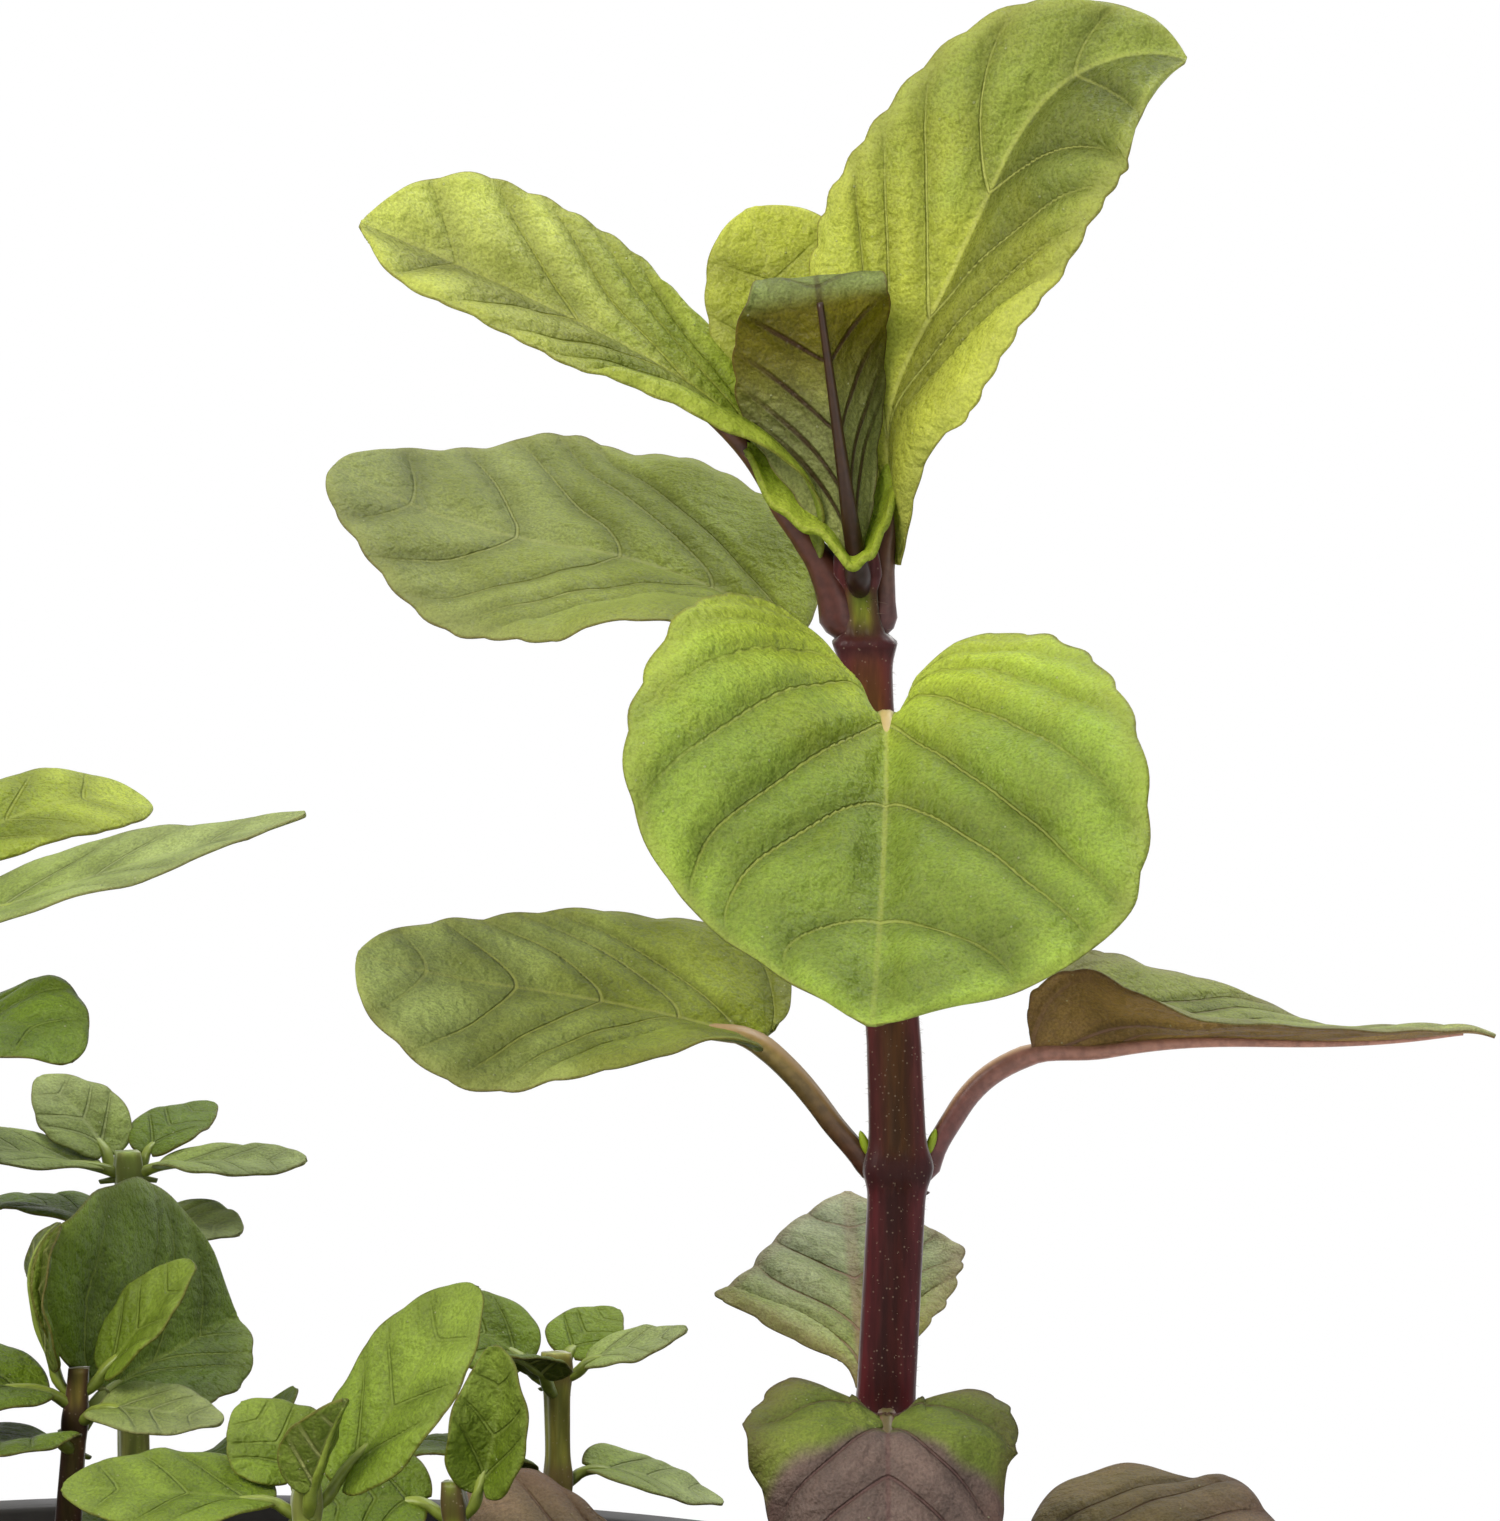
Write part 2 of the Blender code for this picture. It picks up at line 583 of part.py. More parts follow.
def midrib(leaf, stem):
    """The midrib from the stem to the tip, as distances and the points and three directions there.

    The slope and bearing go evenly from each of the leaf's stations to the next, so the midrib is a
    chain of arcs. Its points are the sum of the short steps along it.
    """
    bend = min(PETIOLE_BEND, leaf.petiole / 2)
    middle = leaf.turning * leaf.length
    along = np.linspace(-leaf.petiole, leaf.length, 241)
    azimuth = np.radians(np.interp(along, [-leaf.petiole, 0, leaf.length], leaf.azimuth))
    rise = np.radians(np.interp(along, [-leaf.petiole, -bend, bend, middle, leaf.length], leaf.rise))
    roll = np.radians(np.interp(along, [0, middle, leaf.length], leaf.roll))
    roll = roll * np.clip(1 + along / leaf.petiole, 0, 1)
    forward = np.stack([np.cos(rise) * np.cos(azimuth), np.cos(rise) * np.sin(azimuth), np.sin(rise)], -1)
    leftward = np.stack([-np.sin(azimuth), np.cos(azimuth), np.zeros_like(azimuth)], -1)
    upward = np.cross(forward, leftward)
    cosine, sine = np.cos(roll)[:, None], np.sin(roll)[:, None]
    leftward, upward = cosine * leftward + sine * upward, cosine * upward - sine * leftward
    cosine, sine = math.cos(math.radians(leaf.lean)), math.sin(math.radians(leaf.lean))
    tip_over = np.array([[cosine, 0, -sine], [0, 1, 0], [sine, 0, cosine]])
    forward, leftward, upward = forward @ tip_over, leftward @ tip_over, upward @ tip_over

    bearing = math.radians(leaf.azimuth[0])
    outside = stem.reach(leaf.height, leaf.azimuth[0]) + CLEARANCE
    outside += leaf.stalk / 2 * math.sin(math.radians(leaf.rise[0]))
    start = stem.axis(leaf.height) + outside * np.array([math.cos(bearing), math.sin(bearing), 0])
    steps = (forward[1:] + forward[:-1]) / 2 * np.diff(along)[:, None]
    points = start + np.vstack([np.zeros(3), np.cumsum(steps, axis=0)])
    return along, points, forward, leftward, upward


def outline(leaf, turn):
    """The blade's flat outline for turn from 0 at its base to pi at its tip.

    Along the midrib it is half of 1 - cos(turn), drawn back by the heart lobes. Across, it is a sine made
    wider towards the base and narrower towards the tip, and scaled to the leaf's width.
    """
    belly, lobe, tip, base = leaf.shape
    cosine = np.cos(turn)
    middle = (1 - cosine) / 2
    margin = middle - lobe * np.sin(turn) * ((1 + cosine) / 2) ** 4

    def breadth(angle, fullness):
        share = (1 - np.cos(angle)) / 2
        narrowed = (1 - tip * share**3) * (1 - base * (1 - share) ** 3)
        return np.sin(angle) * (1 + fullness * np.cos(angle)) * narrowed

    stalk = leaf.stalk / 2 * (1 - middle) + TIP_WIDTH / 2 * middle
    halves = []
    for fullness, share in ((belly + leaf.skew, leaf.halves[0]), (belly - leaf.skew, leaf.halves[1])):
        widest = breadth(np.linspace(0, math.pi, 181), fullness).max()
        halves.append(share * leaf.width / 2 * breadth(turn, fullness) / widest + stalk)
    return middle * leaf.length, margin * leaf.length, halves[0], halves[1]


def leaf_points(leaf, stem):
    """The leaf's surface as an array of points, row by row from the stem to the tip."""
    along, spine, forward, leftward, upward = midrib(leaf, stem)
    middle, margin, left, right = outline(leaf, np.linspace(0, math.pi, BLADE_ROWS + 1))
    stalk = np.linspace(-leaf.petiole, 0, PETIOLE_ROWS, endpoint=False)
    middle = np.concatenate([stalk, middle])
    margin = np.concatenate([stalk, margin])
    left, right = (np.concatenate([np.full(PETIOLE_ROWS, leaf.stalk / 2), half]) for half in (left, right))

    side = np.linspace(-1, 1, BLADE_COLUMNS + 1)
    x = middle[:, None] + (margin - middle)[:, None] * np.abs(side)
    y = np.abs(side) * np.where(side > 0, left[:, None], right[:, None])

    on_petiole = (np.arange(len(middle)) < PETIOLE_ROWS)[:, None]
    held = np.where(on_petiole, x, np.maximum(x, 0))
    place, ahead, aside, above = (
        np.stack([np.interp(held, along, values[:, k]) for k in range(3)], -1)
        for values in (spine, forward, leftward, upward)
    )
    place = place + (x - held)[..., None] * ahead

    share = np.clip(x / leaf.length, 0, 1)
    halves = [np.array(values)[:, None, None] for values in zip(leaf.left, leaf.right)]
    base_fold, tip_fold, base_bend, tip_bend = (np.where(side > 0, *pair) for pair in halves)
    fold = tip_fold + (base_fold - tip_fold) * (1 - share) ** 2
    bend = base_bend + (tip_bend - base_bend) * share
    turned = np.radians(bend) * y / (leaf.width / 2)
    chord = y * np.sinc(turned / 2 / math.pi)
    lean = np.radians(fold) + turned / 2
    out = chord * np.cos(lean)
    up = (np.hypot(chord, MIDRIB_CHANNEL) - MIDRIB_CHANNEL) * np.sin(lean)
    return place + (np.sign(side) * out)[..., None] * aside + up[..., None] * above


def make_leaf(leaf, stem, collection):
    """The leaf's sheet with Solidify, which leaves the petiole thick and thins the blade."""
    points = leaf_points(leaf, stem)
    mesh = finished_mesh(leaf.name, mapped_grid(points))
    piece = add_object(leaf.name, mesh, collection, make_material(leaf.name + "_tissue", leaf.colour, 0.5))
    stalk = piece.vertex_groups.new(name="petiole")
    on_stalk = points[:PETIOLE_ROWS].reshape(-1, 3) * MM
    for vertex in mesh.vertices:
        nearest = np.abs(on_stalk - np.array(vertex.co)).sum(axis=1).min()
        stalk.add([vertex.index], 1.0 if nearest < 1e-6 else 0.0, "REPLACE")
    solidify = piece.modifiers.new("thickness", "SOLIDIFY")
    solidify.thickness = leaf.stalk * MM
    solidify.offset = 0.0
    solidify.vertex_group = stalk.name
    solidify.thickness_vertex_group = BLADE_THICKNESS / leaf.stalk


def main():
    for piece in list(bpy.data.objects):
        bpy.data.objects.remove(piece)
    plant = bpy.data.collections.new("potted_water_mint")
    cutters = bpy.data.collections.new("cutters")
    for collection in (plant, cutters):
        bpy.context.scene.collection.children.link(collection)
    make_pot(plant, cutters)
    make_soil(plant, cutters)
    stems = {stem.name: stem for stem in STEMS}
    for stem in STEMS:
        make_stem(stem, plant)
    for leaf in LEAVES:
        make_leaf(leaf, stems[leaf.stem], plant)


main()
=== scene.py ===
# %% [markdown]
# # A pot of water mint
#
# Water mint is a herb of wet ground. Its stems are square, its leaves stand in crossed pairs, and the leaves
# are thin, quilted between their veins and scalloped along their margins. This lesson dresses a plain CAD
# model of one such plant. The CAD solids say where each stem and leaf is. The surfaces that you see are
# worked out here with numpy, each as a function of two parameters, and then get a material of their own.

# %% Load the frame
import math
from dataclasses import dataclass
from functools import reduce

import bmesh
import bpy
import numpy as np
from mathutils import Matrix, Vector


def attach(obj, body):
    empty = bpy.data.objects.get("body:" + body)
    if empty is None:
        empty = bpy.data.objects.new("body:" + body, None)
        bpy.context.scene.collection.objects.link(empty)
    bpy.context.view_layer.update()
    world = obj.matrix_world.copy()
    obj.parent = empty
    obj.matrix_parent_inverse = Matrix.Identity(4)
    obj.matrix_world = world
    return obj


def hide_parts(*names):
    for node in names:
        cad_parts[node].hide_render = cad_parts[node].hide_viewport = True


MM = 0.001
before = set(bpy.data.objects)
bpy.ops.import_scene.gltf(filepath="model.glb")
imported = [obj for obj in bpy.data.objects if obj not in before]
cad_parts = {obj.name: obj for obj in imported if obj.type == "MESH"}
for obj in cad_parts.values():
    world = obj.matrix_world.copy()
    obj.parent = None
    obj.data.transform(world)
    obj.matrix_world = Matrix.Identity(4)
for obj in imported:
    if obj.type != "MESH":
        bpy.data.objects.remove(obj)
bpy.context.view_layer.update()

# %% [markdown]
# ## Small helpers
#
# Colours are written as sRGB hex values, as a painter would note them, and Cycles wants linear light, so one
# function turns them. Every material is a tree of nodes. One small class adds a node, sets it and links it in
# the same line, with a short method for each kind of node that a plant's skin needs.


# %% Colour and node helpers
def to_linear(hex_colour):
    """A six-digit sRGB colour as four linear values."""
    channels = [int(hex_colour[k : k + 2], 16) / 255 for k in (0, 2, 4)]
    linear = [c / 12.92 if c <= 0.04045 else ((c + 0.055) / 1.055) ** 2.4 for c in channels]
    return (*linear, 1.0)


class Nodes:
    """A node tree. Every method adds a node and returns one of its outputs."""

    def __init__(self, tree):
        self.tree = tree
        tree.nodes.clear()

    def add(self, kind, inputs=(), output=0, **settings):
        """A node with its settings, each of whose inputs gets a value, a colour or a link."""
        node = self.tree.nodes.new("ShaderNode" + kind)
        for name, value in settings.items():
            setattr(node, name, value)
        for name, value in dict(inputs).items():
            socket = node.inputs[name]
            if isinstance(value, bpy.types.NodeSocket):
                self.tree.links.new(value, socket)
            elif isinstance(value, str):
                socket.default_value = to_linear(value)[: len(socket.default_value)]
            else:
                socket.default_value = value
        return node.outputs[output] if node.outputs else node

    def ramp(self, value, low, high, start=0.0, end=1.0):
        """Maps a value from low..high to start..end with soft ends."""
        inputs = {"Value": value, "From Min": low, "From Max": high, "To Min": start, "To Max": end}
        return self.add("MapRange", inputs, "Result", interpolation_type="SMOOTHSTEP")

    def blend(self, factor, first, second, how="MIX"):
        """One colour over another, by a factor."""
        return self.add("Mix", {0: factor, 6: first, 7: second}, 2, data_type="RGBA", blend_type=how)

    def calculate(self, how, *values):
        """The first value with the second, then with the third, and so on."""
        return reduce(lambda first, second: self.add("Math", {0: first, 1: second}, operation=how), values)

    def times(self, *values):
        """The product of the values."""
        return self.calculate("MULTIPLY", *values)

    def plus(self, *values):
        """The sum of the values."""
        return self.calculate("ADD", *values)

    def minus(self, *values):
        """The first value less the others."""
        return self.calculate("SUBTRACT", *values)

    def scaled(self, colour, factor):
        """A colour made lighter or darker by a factor."""
        return self.add("VectorMath", {0: colour, "Scale": factor}, operation="SCALE")

    def mark(self, name):
        """A number that the mesh holds at each of its points."""
        return self.add("Attribute", output="Fac", attribute_name=name)

    def place(self):
        """Where the point is on the object, in metres."""
        return self.add("TexCoord", output="Object")

    def stretched(self, place, along_z):
        """The place with its heights scaled, so that a pattern on it runs up and down."""
        return self.add("Mapping", {"Vector": place, "Scale": (1, 1, along_z)})

    def noise(self, place, size, detail, **more):
        """Cloudy noise whose largest lumps are about size millimetres wide."""
        return self.add("TexNoise", {"Vector": place, "Scale": 1 / (size * MM), "Detail": detail, **more})

    def bump(self, height, strength, depth):
        """A normal for a relief of up to depth millimetres."""
        return self.add("Bump", {"Strength": strength, "Distance": depth * MM, "Height": height})

    def skin(self, colour, roughness, **more):
        """A closure for a plain solid surface, whose other inputs are named with _ for a space."""
        inputs = {"Base Color": colour, "Roughness": roughness}
        inputs.update({name.replace("_", " "): value for name, value in more.items()})
        return self.add("BsdfPrincipled", inputs)

    def finish(self, closure, kind="OutputMaterial"):
        """The closure as the tree's surface."""
        self.add(kind, {"Surface": closure})


def new_material(name):
    """An empty node material and its nodes."""
    material = bpy.data.materials.new(name)
    material.use_nodes = True
    return material, Nodes(material.node_tree)


print("helpers ready, white is", to_linear("ffffff"))

# %% [markdown]
# ## Camera, light and ground
#
# A plant is best seen from a little above, from far enough away that its leaves keep their proportions. The
# camera is a long lens an arm's length away, turned six degrees down. The background is white, but only to
# the camera and to reflections, so that the plant itself is lit by three soft lamps and a grey sky.


# %% Camera
CAMERA_TARGET = (38.67, 0.0, 162.0)
CAMERA_DISTANCE = 600.0
CAMERA_TILT = math.radians(6)


def link(name, data, location=(0, 0, 0), rotation=(0, 0, 0)):
    """A new object in the scene."""
    thing = bpy.data.objects.new(name, data)
    thing.location, thing.rotation_euler = location, rotation
    bpy.context.collection.objects.link(thing)
    return thing


lens = bpy.data.cameras.new("camera")
lens.lens, lens.sensor_width, lens.clip_start = 213.0, 36.0, 0.01
away = CAMERA_DISTANCE * np.array([0, -math.cos(CAMERA_TILT), math.sin(CAMERA_TILT)])
camera = link("camera", lens, (np.array(CAMERA_TARGET) + away) * MM, (math.pi / 2 - CAMERA_TILT, 0, 0))
bpy.context.scene.camera = camera
bpy.context.scene.view_settings.view_transform = "Standard"
print("camera at", [round(v, 4) for v in camera.location])

# %% Lamps and sky
# A lamp's place, size and power, in metres and watts, and its colour.
LAMPS = {
    "key_lamp": ((-0.45, -0.6, 0.8), 0.45, 13.0, "fffaf2"),
    "top_lamp": ((0.3, 0.3, 0.95), 0.6, 7.0, "fbfdff"),
    "fill_lamp": ((0.6, -0.8, 0.3), 0.7, 2.0, "fdfdff"),
}
LAMP_AIM = Vector((0.035, 0.0, 0.155))
SKY_SLOPE = (0.0, 0.75, 0.66)
for name, (place, size, power, colour) in LAMPS.items():
    data = bpy.data.lights.new(name, "AREA")
    data.size, data.energy, data.color = size, power, to_linear(colour)[:3]
    link(name, data, place, (LAMP_AIM - Vector(place)).to_track_quat("-Z", "Y").to_euler())


def white_to_camera(nodes, closure, other):
    """White where the camera, a reflection or glass looks, and another closure for the light itself."""
    rays = ("Is Camera Ray", "Is Glossy Ray", "Is Transmission Ray")
    path = nodes.add("LightPath").node
    seen = nodes.calculate("MAXIMUM", *(path.outputs[ray] for ray in rays))
    return nodes.add("MixShader", {0: seen, 1: other, 2: closure})


world = bpy.data.worlds.new("studio")
bpy.context.scene.world = world
world.use_nodes = True
sky = Nodes(world.node_tree)
white = sky.add("Background", {"Color": "ffffff", "Strength": 1.0})
bearing = sky.add("TexCoord", output="Generated")
behind = sky.add("VectorMath", {0: bearing, 1: SKY_SLOPE}, "Value", operation="DOT_PRODUCT")
grey = sky.add("Background", {"Color": "f4f8ff", "Strength": sky.ramp(behind, -0.7, 0.9, 0.16, 0.85)})
sky.finish(white_to_camera(sky, white, grey), "OutputWorld")
print("lamps:", ", ".join(LAMPS))

# %% Ground
GROUND_REACH = 3
paper_mesh = bpy.data.meshes.new("ground")
corners = [(GROUND_REACH * x, GROUND_REACH * y, 0) for x, y in ((-1, -1), (1, -1), (1, 1), (-1, 1))]
paper_mesh.from_pydata(corners, [], [(0, 1, 2, 3)])
ground = link("ground", paper_mesh)
material, nodes = new_material("matt_white_paper")
sheet = nodes.add("BsdfDiffuse", {"Color": "f2f2f2"})
bare = nodes.add("Emission", {"Color": "ffffff", "Strength": 1.0})
far = nodes.add("VectorMath", {0: nodes.place()}, "Value", operation="LENGTH")
faded = nodes.add("MixShader", {0: nodes.ramp(far, 0.14, 0.42), 1: sheet, 2: bare})
nodes.finish(white_to_camera(nodes, faded, sheet))
paper_mesh.materials.append(material)
print("ground is a sheet of", material.name)

# %% [markdown]
# ## The plant's sizes
#
# Lengths are in millimetres and angles in degrees. Every stem is a path of stations, and every leaf is a row
# of a few plain facts: where it leaves its stem, how long and wide it is, and how it rises, folds and curls.

# %% Stems
CLEARANCE = 0.3
STEM_SQUARENESS = 5.0
NODE_SWELLING = 0.22
NODE_REACH = 1.2


def bell(distance, width):
    """A bell curve, which is 1 at no distance."""
    return np.exp(-((distance / width) ** 2))


def rounded_square(angle):
    """A superellipse: its radius in the direction of an angle in radians, and 1 in the middle of a side."""
    power = STEM_SQUARENESS
    return (np.abs(np.cos(angle)) ** power + np.abs(np.sin(angle)) ** power) ** (-1 / power)


@dataclass
class Stem:
    """A square stem, whose path's stations are (x, y, z, thickness).

    nodes are its leaf pairs' heights, and turn is how far its section is turned about its axis.
    """

    name: str
    path: tuple
    nodes: tuple
    turn: float = 0.0

    def station(self, height):
        """The path's x, y and thickness at a height, going straight from one station to the next."""
        x, y, z, thickness = np.array(self.path).T
        return [np.interp(height, z, values) for values in (x, y, thickness)]

    def axis(self, height):
        """The middle of the stem at a height."""
        return np.array([*self.station(height)[:2], height])

    def swelling(self, height):
        """A bell curve round each leaf node."""
        return sum(bell(height - node, NODE_REACH) for node in self.nodes)

    def radius(self, height):
        """Half the thickness, which swells at each leaf node."""
        return self.station(height)[2] * (1 + NODE_SWELLING * self.swelling(height)) / 2

    def reach(self, height, bearing):
        """From the axis to the surface, in a compass direction."""
        return self.radius(height) * rounded_square(math.radians(bearing - self.turn))


STEMS = [
    Stem(
        "main_stem",
        ((47.4, 0, 88, 4.1), (47.8, 0, 119, 4), (48.6, 0, 135, 3.9), (48.3, 0, 143, 3.7), (46.5, 0, 166, 3.5),
         (46.3, 0, 170, 3.6), (46.2, 0, 170.5, 2.5), (46.1, 0, 171.8, 2.3), (46, 0, 173.4, 2.3),
         (45.8, 0, 174.6, 3.4), (45.7, 0, 176.6, 2.8)),
        (105, 117, 134.7, 152.5, 170.2),
    ),
    Stem(
        "left_tall_stem",
        ((-20, 5, 88, 3.9), (-21.5, 5, 130, 3.4), (-21, 4, 150, 2.7), (-20.5, 4, 163, 1.9)),
        (113, 139, 147, 153), 20,
    ),
    Stem(
        "back_rosette_stem",
        ((-5.3, 38.4, 88, 2.4), (-5.5, 39, 113, 2.1), (-5.8, 40, 129.7, 1.6)),
        (123, 128.4), 15,
    ),
    Stem("young_round_stem", ((-8, 1, 88, 2), (-7.4, 0.5, 108, 1.9), (-6.4, 0, 121, 1.4)), (108, 117.5)),
    Stem(
        "bright_front_stem",
        ((9.6, -27.1, 90, 2.2), (9.9, -27.5, 108, 2), (10.3, -28, 118.5, 1.6)),
        (108, 117), 10,
    ),
    Stem(
        "small_back_stem",
        ((25.4, 34, 88, 1.6), (25, 35, 108, 1.5), (24.9, 35, 116, 1.7)),
        (107, 114.8), 25,
    ),
    Stem(
        "curled_dark_stem",
        ((20, -5, 90, 1.8), (19.4, -4.6, 108, 1.7), (18.8, -4, 114, 1.3)),
        (106, 112.5), -15,
    ),
]
stems = {stem.name: stem for stem in STEMS}
print("stems:", ", ".join(stems))


# %% Leaves
@dataclass
class Leaf:
    """One leaf, whose left and right are those of someone looking from the stem to its tip.

    azimuth is the midrib's compass bearing at the stem, the blade's base and its tip, or one bearing for all
    three. rise is its slope at the stem, the petiole's end, the blade's base, its middle and its tip, and a
    leaf with a form of its own gives only the first three. lean then tips the whole leaf over to the right
    of the plant. roll turns the blade about its midrib at base, middle and tip, and lifts its left side.

    left and right hold, for each half, its fold at base and tip, and how far it curls on to its margin
    there, and the right half is like the left one unless it says more. shape holds how far the widest place
    moves towards the base, the depth of the heart lobes, and how narrow the tip and the base are. skew moves
    the widest place of the left half towards the base and that of the right half away from it.

    stalk is the petiole's thickness, rib is a factor for the stalk's and rib's, and rib_end is where the rib
    ends, as a share of the blade. veins says how many side veins a half has, which run ahead as they go out:
    by arch, times the share of the way to the margin to the power bow. quilt and wave are how much the blade
    swells between its veins and waves at its margins.
    """

    name: str
    height: float
    petiole: float
    length: float
    width: float
    azimuth: object
    rise: tuple
    roll: object = 0
    left: tuple = (15, 5, -10, -10)
    right: tuple = ()
    shape: tuple = (0.25, 0, 0.25, 0)
    skew: float = 0
    lean: float = 0
    stalk: float = 1.4
    veins: int = 3
    quilt: float = 0.45
    wave: float = 0.45
    rib: float = 0.62
    rib_end: float = 0.93
    arch: float = 0.8
    bow: float = 1.3
    stem: str = ""


